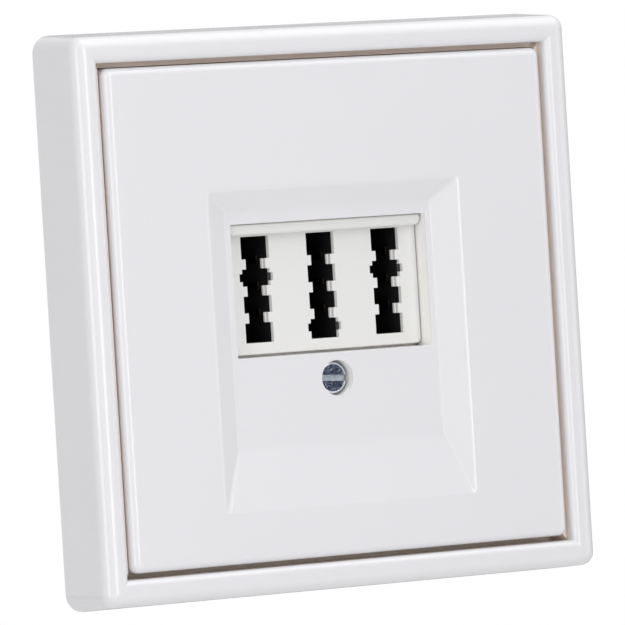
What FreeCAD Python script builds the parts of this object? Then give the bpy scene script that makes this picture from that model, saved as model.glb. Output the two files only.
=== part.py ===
import FreeCAD, Part
import math
import os
import re
import Sketcher

# Flush telephone wall socket with three coded plug slots.
# The wall is the plane Y = 0, the room is at -Y and the wall box at +Y. Z is up.
# The origin is the centre of the socket on the wall. Heights in front of the wall are called fronts,
# and depths in the wall box are called backs. Both are positive numbers.

doc = FreeCAD.newDocument("TelephoneSocket")
sheet = doc.addObject("Spreadsheet::Sheet", "Sizes")

# Driving dimensions, in millimetres and degrees
driving = {
    # Cover frame
    "frameBand": 4.5,
    "frameProud": 0.2,
    "frameTaper": 4.2,
    "frameCorner": 2.0,
    "frameRounding": 1.6,
    "frameWall": 1.8,
    "frameFrontWall": 1.9,
    "openingRounding": 0.5,
    "rimWall": 1.3,
    "ribWidth": 1.0,
    "ribSpacing": 12.0,
    "ledgeWidth": 2.5,
    "ledgeFront": 4.0,
    "ledgeThickness": 1.4,
    # Centre plate
    "plateCorner": 1.2,
    "plateRounding": 1.1,
    "plateWall": 2.0,
    "skirtWall": 1.6,
    "floorWall": 1.8,
    "bevelSide": 3.45,
    "bevelTop": 3.0,
    "bevelBottom": 8.5,
    "recessDepth": 2.0,
    "recessRounding": 0.15,
    "floorSideMargin": 0.95,
    "floorTopMargin": 1.85,
    "floorBottomMargin": 12.9,
    "windowCorner": 0.3,
    "collarWall": 1.2,
    "stiffenerWidth": 1.2,
    "stiffenerPlace": 12.0,
    # Centre screw and its bush
    "screwMargin": 3.65,
    "screwHole": 5.0,
    "screwBossWall": 1.7,
    "screwSeatWall": 1.2,
    "screwHead": 4.5,
    "screwHeadHeight": 1.3,
    "screwHeadChamfer": 0.3,
    "screwShank": 2.9,
    "screwBack": 1.4,
    "screwSlotWidth": 0.95,
    "screwSlotDepth": 0.7,
    "screwTurn": 3.3,
    "bushWidth": 4.5,
    "bushCollar": 5.6,
    "bushCollarHeight": 1.0,
    "bushBack": 1.6,
    # Socket face
    "faceSideMargin": 2.77,
    "faceTopMargin": 1.55,
    "faceBottomMargin": 1.64,
    "faceHeight": 1.7,
    "faceDrop": 2.9,
    "faceWall": 0.75,
    "faceCorner": 0.7,
    "skirtMargin": 2.5,
    "skirtRise": 1.7,
    "skirtHeight": 2.0,
    "faceSkirtWall": 1.2,
    "lipHeight": 1.35,
    "lipProud": 2.3,
    "lipRounding": 0.6,
    "tabDepth": 0.85,
    "tongueWidth": 4.0,
    "tongueWall": 1.2,
    "tongueLength": 3.6,
    # Coded slots
    "slotPitch": 10.45,
    "slotWidth": 4.4,
    "neckWidth": 3.1,
    "slotTop": 10.55,
    "chamberOne": 3.15,
    "chamberTwo": 2.4,
    "chamberThree": 2.35,
    "chamberFour": 2.8,
    "neckHeight": 1.42,
    "wingDepth": 0.45,
    "wingHeight": 1.12,
    "wingDrop": 0.62,
    # Support ring
    "ringHoleSpacing": 60.0,
    "ringSlotMargin": 5.5,
    "ringThickness": 1.0,
    "ringCorner": 3.0,
    "ringSlotWidth": 4.0,
    "ringSlotLength": 7.0,
    "ringScrewMargin": 2.9,
    "ringScrewHeight": 12.0,
    "ringScrewHead": 4.2,
    "ringScrewHeadHeight": 1.5,
    "ringScrewShank": 2.4,
    "ringScrewBack": 1.6,
    # Contact housing
    "boxTopMargin": 4.15,
    "boxWall": 1.6,
    "cavityDepth": 3.8,
    "boxCorner": 1.0,
    "flangeMargin": 5.3,
    "flangeRise": 1.5,
    "flangeThickness": 1.6,
    "towerStep": 1.0,
    "chamberBack": 8.0,
    "floorThickness": 2.4,
    "coverMargin": 4.3,
    "coverThickness": 1.4,
    "coverSpigot": 2.0,
    # Contact springs
    "springThickness": 0.25,
    "springHeight": 1.1,
    "springStagger": 0.62,
    "springMargin": 0.35,
    "springGrip": 0.15,
    "springTipFront": 3.2,
    "springBumpFront": 0.5,
    "springBendBack": 4.0,
    # Conductors and terminals
    "stripThickness": 0.5,
    "stripWidth": 0.9,
    "stripLegMargin": 0.8,
    "stripLegStep": 1.6,
    "stripWallMargin": 1.4,
    "stripJogMargin": 3.59,
    "stripJogStep": 3.0,
    "terminalPitch": 6.0,
    "terminalMargin": 8.55,
    "cellWidth": 5.0,
    "cellAbove": 4.0,
    "cellBelow": 6.0,
    "cellWall": 1.1,
    "cellBack": 3.5,
    "tabWidth": 4.4,
    "tabThickness": 0.8,
    "tabAbove": 3.7,
    "tabBelow": 2.9,
    "bladeAbove": 2.1,
    "bladeWidth": 1.6,
    "bladeThickness": 0.8,
    "clampHeight": 5.0,
    "clampThickness": 0.8,
    "wireGap": 0.9,
    "terminalHead": 3.8,
    "terminalHeadHeight": 1.6,
    "terminalShank": 2.4,
    "terminalBack": 6.0,
    "smallScrewSlot": 0.6,
    "wireHole": 2.4,
    "wireBelow": 4.5,
    # Gaps and clearances
    "plateGap": 0.75,
    "ringGap": 0.25,
    "faceGapSide": 0.28,
    "faceGapTop": 0.25,
    "faceGapBottom": 0.35,
    "collarGap": 0.4,
    "ringClearance": 0.3,
    "slideClearance": 0.1,
    "screwClearance": 0.05,
}

for row, (alias, number) in enumerate(driving.items(), start=1):
    sheet.set("A%d" % row, alias)
    sheet.set("B%d" % row, str(number))
    sheet.setAlias("B%d" % row, alias)
doc.recompute()

terminal_count = 6

# Sizes that follow from the driving ones. The heights build up from the wall. The widths build up from
# the wall box's screw spacing for ring, plate and frame, and from the plug slots for what lies inside.
following = {
    "skirtFront": "ringThickness + flangeThickness + skirtHeight",
    "screwSeat": "skirtFront + collarGap + screwSeatWall",
    "plateFront": "skirtFront + faceHeight + faceDrop + recessDepth",
    "frameFront": "plateFront + frameProud",
    "floorBack": "chamberBack + floorThickness",
    "boxBack": "floorBack + cavityDepth",
    "ringWidth": "ringHoleSpacing + 2 * ringSlotMargin",
    "openingWidth": "ringWidth + 2 * ringGap",
    "plateWidth": "openingWidth - 2 * plateGap",
    "frameWidth": "openingWidth + 2 * frameBand",
    "slotHeight": "chamberOne + chamberTwo + chamberThree + chamberFour + 3 * neckHeight",
    "windowWidth": "2 * (slotPitch + slotWidth / 2 + faceSideMargin + faceGapSide)",
    "windowTop": "slotTop + faceTopMargin + faceGapTop",
    "windowBottom": "slotHeight - slotTop + faceBottomMargin + faceGapBottom",
    "floorWidth": "windowWidth + 2 * floorSideMargin",
    "floorTop": "windowTop + floorTopMargin",
    "floorBottom": "windowBottom + floorBottomMargin",
    "recessWidth": "floorWidth + 2 * bevelSide",
    "recessTop": "floorTop + bevelTop",
    "recessBottom": "floorBottom + bevelBottom",
    "screwDrop": "windowBottom + screwMargin",
    "springRest": "slotWidth / 2 - springMargin",
    "springReach": "neckWidth / 2 - springGrip",
    "stripLegInner": "slotPitch + springRest + stripWidth + stripLegMargin",
    "stripLegOuter": "stripLegInner + %d * stripLegStep" % (terminal_count // 2 - 1),
    "terminalReach": "%d * terminalPitch / 2" % (terminal_count - 1),
    "stripHalf": "stripLegOuter + stripWallMargin + boxWall",
    "cellHalf": "terminalReach + cellWidth / 2 + cellWall",
    "boxWidth": "2 * max(stripHalf; cellHalf)",
    "boxTop": "slotTop + boxTopMargin",
    "terminalDrop": "screwDrop + terminalMargin",
    "cellTop": "terminalDrop - cellAbove",
    "cellBottom": "terminalDrop + cellBelow",
    "boxBottom": "cellBottom + cellWall",
    "tabTop": "terminalDrop - tabAbove",
    "tabBottom": "terminalDrop + tabBelow",
    "bladeDrop": "terminalDrop - bladeAbove",
    "wireDrop": "terminalDrop + wireBelow",
    "coverDrop": "bladeDrop + coverMargin",
    "ringScrewPlace": "boxWidth / 2 + ringScrewMargin",
}

# Heights and places that several pieces share
recess_floor = "(plateFront - recessDepth)"
face_front = "(plateFront - recessDepth - faceDrop)"
face_half = "(windowWidth / 2 - faceGapSide)"
face_top = "(windowTop - faceGapTop)"
face_bottom = "(faceGapBottom - windowBottom)"
flange_front = "(ringThickness + flangeThickness)"
collar_rear = "(screwSeat - screwSeatWall)"
skirt_half = "(windowWidth / 2 - faceGapSide + skirtMargin)"
skirt_bottom = "(faceGapBottom - windowBottom - skirtRise)"
skirt_top = "(windowTop - faceGapTop + skirtRise)"
slot_bottom = "(slotTop - slotHeight)"
slot_middle = "(slotTop + %s) / 2" % slot_bottom
tower_front = "(plateFront - recessDepth - faceDrop - faceWall - screwClearance)"
clamp_back = "(cellBack - tabThickness - wireGap)"
neck_centres = [
    "(slotTop - chamberOne - neckHeight / 2)",
    "(slotTop - chamberOne - chamberTwo - 3 * neckHeight / 2)",
    "(slotTop - chamberOne - chamberTwo - chamberThree - 5 * neckHeight / 2)",
]
slot_names = ["left", "middle", "right"]
slot_indexes = range(len(slot_names))

# The chamber of each slot that has the wings, counted from the top
wing_chambers = [2, 4, 2]

# Ribs of the frame on each side of its middle one
ribs_each_way = 2

quarter_turn = math.pi / 2


def linked(expression):
    # The same expression in the sheet's cells, with each size that follows written out
    def in_cells(word):
        name = word.group()
        if name in driving:
            return "Sizes." + name
        if name in following:
            return "(%s)" % linked(following[name])
        return name
    return re.sub(r"[A-Za-z]+", in_cells, expression)


def size(expression):
    # What an expression is worth now
    return float(sheet.evalExpression(linked(expression)))


def new_body(label):
    body = doc.addObject("PartDesign::Body", label)
    body.Label = label
    return body


def new_sketch(body, role, offset):
    # A sketch on one of the body's origin planes, moved along the plane's normal
    plane = [feature for feature in body.Origin.OriginFeatures if feature.Role == role][0]
    sketch = body.newObject("Sketcher::SketchObject", body.Label + "_sketch")
    sketch.AttachmentSupport = [(plane, "")]
    sketch.MapMode = "FlatFace"
    sketch.setExpression("AttachmentOffset.Base.z", linked(offset))
    return sketch


def front_sketch(body, front):
    # A sketch parallel to the wall, at a height in front of it
    return new_sketch(body, "XZ_Plane", front)


def add_constraints(sketch, constraints):
    # Each entry is a constraint with the expression that drives it, or None
    places = sketch.addConstraint([constraint for constraint, expression in constraints])
    for place, (constraint, expression) in zip(places, constraints):
        if expression is not None:
            sketch.setExpression("Constraints[%d]" % place, linked(expression))


def driven(kind, expression, *where):
    return Sketcher.Constraint(kind, *where, size(expression)), expression


def free(kind, *where):
    return Sketcher.Constraint(kind, *where), None


def add_outline(sketch, corners):
    # A closed outline of straight lines through corners that are each driven in both directions
    spots = [FreeCAD.Vector(size(across), size(up), 0) for across, up in corners]
    ends = spots[1:] + spots[:1]
    first = sketch.GeometryCount
    sketch.addGeometry([Part.LineSegment(start, end) for start, end in zip(spots, ends)])
    constraints = []
    for index, (across, up) in enumerate(corners):
        line = first + index
        next_line = first + (index + 1) % len(corners)
        constraints.append(free("Coincident", line, 2, next_line, 1))
        constraints.append(driven("DistanceX", across, -1, 1, line, 1))
        constraints.append(driven("DistanceY", up, -1, 1, line, 1))
    add_constraints(sketch, constraints)


def add_rectangle(sketch, left, right, bottom, top):
    add_outline(sketch, [(left, bottom), (right, bottom), (right, top), (left, top)])


def add_square(sketch, across, up, width):
    half = "(%s) / 2" % width
    add_rectangle(sketch, "%s - %s" % (across, half), "%s + %s" % (across, half),
                  "%s - %s" % (up, half), "%s + %s" % (up, half))


def add_rectangle_pair(sketch, centre, near, far, bottom, top):
    # Two equal rectangles, one on each side of an upright line
    add_rectangle(sketch, "%s + %s" % (centre, near), "%s + %s" % (centre, far), bottom, top)
    add_rectangle(sketch, "%s - %s" % (centre, far), "%s - %s" % (centre, near), bottom, top)


def add_rounded_rectangle(sketch, left, right, bottom, top, radius):
    # Four sides and four tangent corner arcs, anticlockwise from the bottom side
    low = FreeCAD.Vector(size(left), size(bottom), 0)
    high = FreeCAD.Vector(size(right), size(top), 0)
    bend = size(radius)
    centres = [
        FreeCAD.Vector(high.x - bend, low.y + bend, 0),
        FreeCAD.Vector(high.x - bend, high.y - bend, 0),
        FreeCAD.Vector(low.x + bend, high.y - bend, 0),
        FreeCAD.Vector(low.x + bend, low.y + bend, 0),
    ]
    arcs = []
    for quarter, centre in enumerate(centres):
        circle = Part.Circle(centre, FreeCAD.Vector(0, 0, 1), bend)
        arcs.append(Part.ArcOfCircle(circle, (quarter - 1) * quarter_turn, quarter * quarter_turn))
    sides = []
    for quarter, arc in enumerate(arcs):
        sides.append(Part.LineSegment(arcs[quarter - 1].EndPoint, arc.StartPoint))
    first = sketch.GeometryCount
    sketch.addGeometry(sides + arcs)
    side_lines = [first + quarter for quarter in range(4)]
    corner_arcs = [first + 4 + quarter for quarter in range(4)]
    constraints = []
    for quarter in range(4):
        next_side = side_lines[(quarter + 1) % 4]
        direction = "Horizontal" if quarter % 2 == 0 else "Vertical"
        constraints.append(free("Tangent", side_lines[quarter], 2, corner_arcs[quarter], 1))
        constraints.append(free("Tangent", corner_arcs[quarter], 2, next_side, 1))
        constraints.append(free(direction, side_lines[quarter]))
    for arc in corner_arcs[1:]:
        constraints.append(free("Equal", corner_arcs[0], arc))
    constraints.append(driven("Radius", radius, corner_arcs[0]))
    constraints.append(driven("DistanceY", bottom, -1, 1, side_lines[0], 1))
    constraints.append(driven("DistanceX", right, -1, 1, side_lines[1], 1))
    constraints.append(driven("DistanceY", top, -1, 1, side_lines[2], 1))
    constraints.append(driven("DistanceX", left, -1, 1, side_lines[3], 1))
    add_constraints(sketch, constraints)


def add_centred_square(sketch, width, radius=None):
    half = "(%s) / 2" % width
    if radius is None:
        add_rectangle(sketch, "-" + half, half, "-" + half, half)
    else:
        add_rounded_rectangle(sketch, "-" + half, half, "-" + half, half, radius)


def add_slot(sketch, across, up, length, width):
    # A level slot with round ends
    reach_out = "(%s - %s) / 2" % (length, width)
    bend = size(width) / 2
    left_centre = FreeCAD.Vector(size("%s - %s" % (across, reach_out)), size(up), 0)
    right_centre = FreeCAD.Vector(size("%s + %s" % (across, reach_out)), size(up), 0)
    upright = FreeCAD.Vector(0, 0, 1)
    right_end = Part.ArcOfCircle(Part.Circle(right_centre, upright, bend), -quarter_turn, quarter_turn)
    left_end = Part.ArcOfCircle(Part.Circle(left_centre, upright, bend), quarter_turn, 3 * quarter_turn)
    lower = Part.LineSegment(left_end.EndPoint, right_end.StartPoint)
    upper = Part.LineSegment(right_end.EndPoint, left_end.StartPoint)
    first = sketch.GeometryCount
    sketch.addGeometry([lower, right_end, upper, left_end])
    constraints = [free("Tangent", first + piece, 2, first + (piece + 1) % 4, 1) for piece in range(4)]
    constraints.append(free("Horizontal", first))
    constraints.append(driven("Radius", "%s / 2" % width, first + 1))
    for end, sign in ((first + 1, "+"), (first + 3, "-")):
        constraints.append(driven("DistanceX", "%s %s %s" % (across, sign, reach_out), -1, 1, end, 3))
    constraints.append(driven("DistanceY", up, -1, 1, first + 1, 3))
    add_constraints(sketch, constraints)


def add_circle(sketch, across, up, diameter):
    centre = FreeCAD.Vector(size(across), size(up), 0)
    radius = "(%s) / 2" % diameter
    circle = sketch.GeometryCount
    sketch.addGeometry(Part.Circle(centre, FreeCAD.Vector(0, 0, 1), size(radius)))
    add_constraints(sketch, [
        driven("DistanceX", across, -1, 1, circle, 3),
        driven("DistanceY", up, -1, 1, circle, 3),
        driven("Radius", radius, circle),
    ])


def add_feature(body, kind, sketch, length, towards_back=False):
    # Pads grow and pockets cut from the sketch, towards the room or towards the wall box
    feature = body.newObject("PartDesign::" + kind, body.Label + "_" + kind.lower())
    feature.Profile = sketch
    feature.setExpression("Length", linked(length))
    feature.Reversed = towards_back if kind == "Pad" else not towards_back
    sketch.Visibility = False
    return feature


def pad(body, sketch, length):
    return add_feature(body, "Pad", sketch, length)


def cut_back(body, sketch, length):
    return add_feature(body, "Pocket", sketch, length, towards_back=True)


def cut_front(body, sketch, length):
    return add_feature(body, "Pocket", sketch, length)


def round_edges(body, radius, wanted):
    # Rounds the edges of the body's last feature that pass a test
    doc.recompute()
    base = body.Tip
    names = ["Edge%d" % (index + 1) for index, edge in enumerate(base.Shape.Edges) if wanted(edge)]
    feature = body.newObject("PartDesign::Fillet", body.Label + "_fillet")
    feature.Base = (base, names)
    feature.setExpression("Radius", linked(radius))
    return feature


def lies_at(edge, front):
    # True for an edge that lies flat at a height in front of the wall
    near = 1e-4
    box = edge.BoundBox
    return abs(box.YMin + size(front)) < near and abs(box.YMax + size(front)) < near


def reach(edge):
    # The farthest that an edge comes from the middle, sideways or up
    box = edge.BoundBox
    return max(abs(box.XMin), abs(box.XMax), abs(box.ZMin), abs(box.ZMax))


def cover_frame():
    # A tapering shell with a rim round the opening, ribs between rim and wall, and a ledge for the plate
    body = new_body("cover_frame")
    outline = front_sketch(body, "0")
    add_centred_square(outline, "frameWidth", "frameCorner")
    block = pad(body, outline, "frameFront")
    block.setExpression("TaperAngle", linked("-frameTaper"))
    opening = front_sketch(body, "frameFront")
    add_centred_square(opening, "openingWidth")
    cut_back(body, opening, "frameFront")
    round_edges(body, "frameRounding", lambda edge: lies_at(edge, "frameFront")
                and reach(edge) > size("openingWidth / 2 + rimWall"))
    round_edges(body, "openingRounding", lambda edge: lies_at(edge, "frameFront")
                and reach(edge) < size("openingWidth / 2 + openingRounding"))
    groove = front_sketch(body, "0")
    add_centred_square(groove, "frameWidth - 2 * frameWall")
    add_centred_square(groove, "openingWidth + 2 * rimWall")
    cut_front(body, groove, "frameFront - frameFrontWall")
    ribs = front_sketch(body, "ringThickness")
    outer = "(frameWidth / 2 - frameWall + slideClearance)"
    inner = "(openingWidth / 2 + rimWall - slideClearance)"
    for step in range(-ribs_each_way, ribs_each_way + 1):
        low = "%d * ribSpacing - ribWidth / 2" % step
        high = "%d * ribSpacing + ribWidth / 2" % step
        add_rectangle_pair(ribs, "0", inner, outer, low, high)
        add_rectangle(ribs, low, high, inner, outer)
        add_rectangle(ribs, low, high, "-" + outer, "-" + inner)
    pad(body, ribs, "frameFront - frameFrontWall - ringThickness + slideClearance")
    ledge = front_sketch(body, "ledgeFront - ledgeThickness")
    add_centred_square(ledge, "openingWidth + rimWall")
    add_centred_square(ledge, "openingWidth - 2 * ledgeWidth")
    pad(body, ledge, "ledgeThickness")
    return body


def centre_plate():
    # A hollow plate: bevelled recess, window with a collar, boss for the screw, and stiffeners behind
    body = new_body("centre_plate")
    outline = front_sketch(body, "ledgeFront")
    add_centred_square(outline, "plateWidth", "plateCorner")
    pad(body, outline, "plateFront - ledgeFront")
    round_edges(body, "plateRounding", lambda edge: lies_at(edge, "plateFront"))
    hollow = front_sketch(body, "ledgeFront")
    add_centred_square(hollow, "plateWidth - 2 * skirtWall")
    cut_front(body, hollow, "plateFront - plateWall - ledgeFront")
    backing = front_sketch(body, recess_floor + " - floorWall")
    half_backing = "(recessWidth / 2 + floorWall)"
    add_rectangle(backing, "-" + half_backing, half_backing,
                  "-recessBottom - floorWall", "recessTop + floorWall")
    pad(body, backing, "floorWall + recessDepth - plateWall + slideClearance")
    stiffeners = front_sketch(body, recess_floor + " - floorWall")
    skirt_inside = "(plateWidth / 2 - skirtWall + slideClearance)"
    for side in ("-", ""):
        low = side + "stiffenerPlace - stiffenerWidth / 2"
        high = side + "stiffenerPlace + stiffenerWidth / 2"
        add_rectangle(stiffeners, low, high, "recessTop + floorWall - slideClearance", skirt_inside)
        add_rectangle(stiffeners, low, high, "-" + skirt_inside, "slideClearance - recessBottom - floorWall")
        add_rectangle(stiffeners, half_backing + " - slideClearance", skirt_inside, low, high)
        add_rectangle(stiffeners, "-" + skirt_inside, "slideClearance - " + half_backing, low, high)
    pad(body, stiffeners, "floorWall + recessDepth - plateWall + slideClearance")
    collar = front_sketch(body, collar_rear)
    collar_half = "(windowWidth / 2 + collarWall)"
    add_rectangle(collar, "-" + collar_half, collar_half,
                  "-windowBottom - collarWall", "windowTop + collarWall")
    pad(body, collar, recess_floor + " - floorWall + slideClearance - " + collar_rear)
    boss = front_sketch(body, collar_rear)
    add_circle(boss, "0", "-screwDrop", "screwHole + 2 * screwBossWall")
    pad(body, boss, recess_floor + " - floorWall + slideClearance - " + collar_rear)
    rim = front_sketch(body, "plateFront")
    add_rectangle(rim, "-recessWidth / 2 - recessRounding", "recessWidth / 2 + recessRounding",
                  "-recessBottom - recessRounding", "recessTop + recessRounding")
    shoulder = front_sketch(body, "plateFront - recessRounding")
    share = " * recessRounding / recessDepth"
    half_shoulder = "(recessWidth / 2 - bevelSide%s)" % share
    add_rectangle(shoulder, "-" + half_shoulder, half_shoulder,
                  "bevelBottom%s - recessBottom" % share, "recessTop - bevelTop" + share)
    floor = front_sketch(body, recess_floor)
    add_rectangle(floor, "-floorWidth / 2", "floorWidth / 2", "-floorBottom", "floorTop")
    recess = body.newObject("PartDesign::SubtractiveLoft", "centre_plate_recess")
    recess.Profile = rim
    recess.Sections = [shoulder, floor]
    recess.Ruled = True
    window = front_sketch(body, recess_floor)
    add_rounded_rectangle(window, "-windowWidth / 2", "windowWidth / 2",
                          "-windowBottom", "windowTop", "windowCorner")
    cut_back(body, window, "plateFront")
    head_hole = front_sketch(body, recess_floor)
    add_circle(head_hole, "0", "-screwDrop", "screwHole")
    cut_back(body, head_hole, recess_floor + " - screwSeat")
    shank_hole = front_sketch(body, "screwSeat")
    add_circle(shank_hole, "0", "-screwDrop", "screwShank + 2 * slideClearance")
    cut_back(body, shank_hole, "screwSeatWall + slideClearance")
    return body


def centre_screw():
    # A slotted cheese-head screw on the plate's vertical centre line
    body = new_body("centre_screw")
    profile = new_sketch(body, "XY_Plane", "0")
    head_front = "-screwSeat - screwHeadHeight"
    add_outline(profile, [
        ("0", head_front),
        ("screwHead / 2 - screwHeadChamfer", head_front),
        ("screwHead / 2", head_front + " + screwHeadChamfer"),
        ("screwHead / 2", "-screwSeat"),
        ("screwShank / 2", "-screwSeat"),
        ("screwShank / 2", "screwBack"),
        ("0", "screwBack"),
    ])
    turning = body.newObject("PartDesign::Revolution", "centre_screw_turning")
    turning.Profile = profile
    turning.ReferenceAxis = (profile, ["V_Axis"])
    slot = front_sketch(body, "screwSeat + screwHeadHeight")
    add_rectangle(slot, "-screwHead", "screwHead", "-screwSlotWidth / 2", "screwSlotWidth / 2")
    cut_back(body, slot, "screwSlotDepth")
    body.Placement = FreeCAD.Placement(FreeCAD.Vector(), FreeCAD.Rotation(FreeCAD.Vector(0, 1, 0), 1))
    body.setExpression("Placement.Base.z", linked("-screwDrop"))
    body.setExpression("Placement.Rotation.Angle", linked("screwTurn"))
    return body


def threaded_bush():
    # A brass bush behind the housing's flange; its collar takes the centre screw's pull
    body = new_body("threaded_bush")
    profile = new_sketch(body, "XY_Plane", "0")
    bore = "screwShank / 2 + screwClearance"
    add_outline(profile, [
        (bore, "slideClearance - " + flange_front),
        ("bushWidth / 2", "slideClearance - " + flange_front),
        ("bushWidth / 2", "bushBack"),
        ("bushCollar / 2", "bushBack"),
        ("bushCollar / 2", "bushBack + bushCollarHeight"),
        (bore, "bushBack + bushCollarHeight"),
    ])
    turning = body.newObject("PartDesign::Revolution", "threaded_bush_turning")
    turning.Profile = profile
    turning.ReferenceAxis = (profile, ["V_Axis"])
    body.setExpression("Placement.Base.z", linked("-screwDrop"))
    return body


def support_ring():
    # A square of sheet steel that fits inside the frame's rim, with slots for the wall box screws
    body = new_body("support_ring")
    outline = front_sketch(body, "0")
    add_centred_square(outline, "ringWidth", "ringCorner")
    pad(body, outline, "ringThickness")
    holes = front_sketch(body, "ringThickness")
    half_opening = "(boxWidth / 2 + ringClearance)"
    add_rectangle(holes, "-" + half_opening, half_opening,
                  "-boxBottom - ringClearance", "boxTop + ringClearance")
    for across, up in (("-", None), ("", None), (None, "-"), (None, "")):
        x_place = "0" if across is None else across + "ringHoleSpacing / 2"
        z_place = "0" if up is None else up + "ringHoleSpacing / 2"
        add_slot(holes, x_place, z_place, "ringSlotLength", "ringSlotWidth")
    for side in ("-", ""):
        add_circle(holes, side + "ringScrewPlace", side + "ringScrewHeight",
                   "ringScrewShank + 2 * screwClearance")
    cut_back(body, holes, "ringThickness")
    return body


def slot_outline(centre, wing_chamber):
    # The coded outline of one slot: four chambers, three necks, and wings on one chamber
    heights = ["chamberOne", "neckHeight", "chamberTwo", "neckHeight", "chamberThree", "neckHeight",
               "chamberFour"]
    side = []
    top = "slotTop"
    for index, height in enumerate(heights):
        bottom = top + " - " + height
        half = "neckWidth / 2" if index % 2 else "slotWidth / 2"
        side.append((half, top))
        if index == 2 * (wing_chamber - 1):
            wing_top = top + " - wingDrop"
            side.append((half, wing_top))
            side.append(("slotWidth / 2 + wingDepth", wing_top))
            side.append(("slotWidth / 2 + wingDepth", wing_top + " - wingHeight"))
            side.append((half, wing_top + " - wingHeight"))
        side.append((half, bottom))
        top = bottom
    right = [("%s + %s" % (centre, half), up) for half, up in side]
    left = [("%s - (%s)" % (centre, half), up) for half, up in side]
    return right + left[::-1]


def slot_centre(index):
    return "%d * slotPitch" % (index - 1)


def socket_face():
    # The face with its three coded slots, tabs behind the necks, top lip, skirt and snap tongues
    body = new_body("socket_face")
    skirt = front_sketch(body, flange_front)
    add_rounded_rectangle(skirt, "-" + skirt_half, skirt_half, skirt_bottom, skirt_top, "faceCorner")
    pad(body, skirt, "skirtFront - " + flange_front)
    block = front_sketch(body, "skirtFront - slideClearance")
    add_rounded_rectangle(block, "-" + face_half, face_half, face_bottom, face_top, "faceCorner")
    pad(body, block, face_front + " - skirtFront + slideClearance")
    lip = front_sketch(body, face_front + " - slideClearance")
    add_rectangle(lip, "-" + face_half, face_half, face_top + " - lipHeight", face_top)
    pad(body, lip, "lipProud + slideClearance")
    round_edges(body, "lipRounding", lambda edge: lies_at(edge, face_front + " + lipProud"))
    hollow_low = front_sketch(body, flange_front)
    half_low = "(%s - faceSkirtWall)" % skirt_half
    add_rectangle(hollow_low, "-" + half_low, half_low,
                  skirt_bottom + " + faceSkirtWall", skirt_top + " - faceSkirtWall")
    cut_front(body, hollow_low, "towerStep + slideClearance")
    hollow = front_sketch(body, flange_front)
    half_high = "(%s - faceSkirtWall)" % face_half
    add_rectangle(hollow, "-" + half_high, half_high,
                  face_bottom + " + faceWall", face_top + " - faceWall")
    cut_front(body, hollow, face_front + " - faceWall - " + flange_front)
    tabs = front_sketch(body, face_front + " - faceWall - tabDepth")
    for index in slot_indexes:
        for level in neck_centres:
            add_rectangle_pair(tabs, slot_centre(index), "neckWidth / 2",
                               "(slotWidth / 2 - slideClearance)",
                               level + " - neckHeight / 2", level + " + neckHeight / 2")
    pad(body, tabs, "tabDepth + slideClearance")
    for index, wing_chamber in enumerate(wing_chambers):
        slot = front_sketch(body, face_front)
        add_outline(slot, slot_outline(slot_centre(index), wing_chamber))
        cut_back(body, slot, "faceWall + tabDepth + slideClearance")
    tongues = front_sketch(body, flange_front + " + slideClearance")
    add_rectangle_pair(tongues, "0", "(%s - tongueWall)" % skirt_half, skirt_half,
                       slot_middle + " - tongueWidth / 2", slot_middle + " + tongueWidth / 2")
    add_feature(body, "Pad", tongues, "tongueLength + slideClearance", towards_back=True)
    return body


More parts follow.
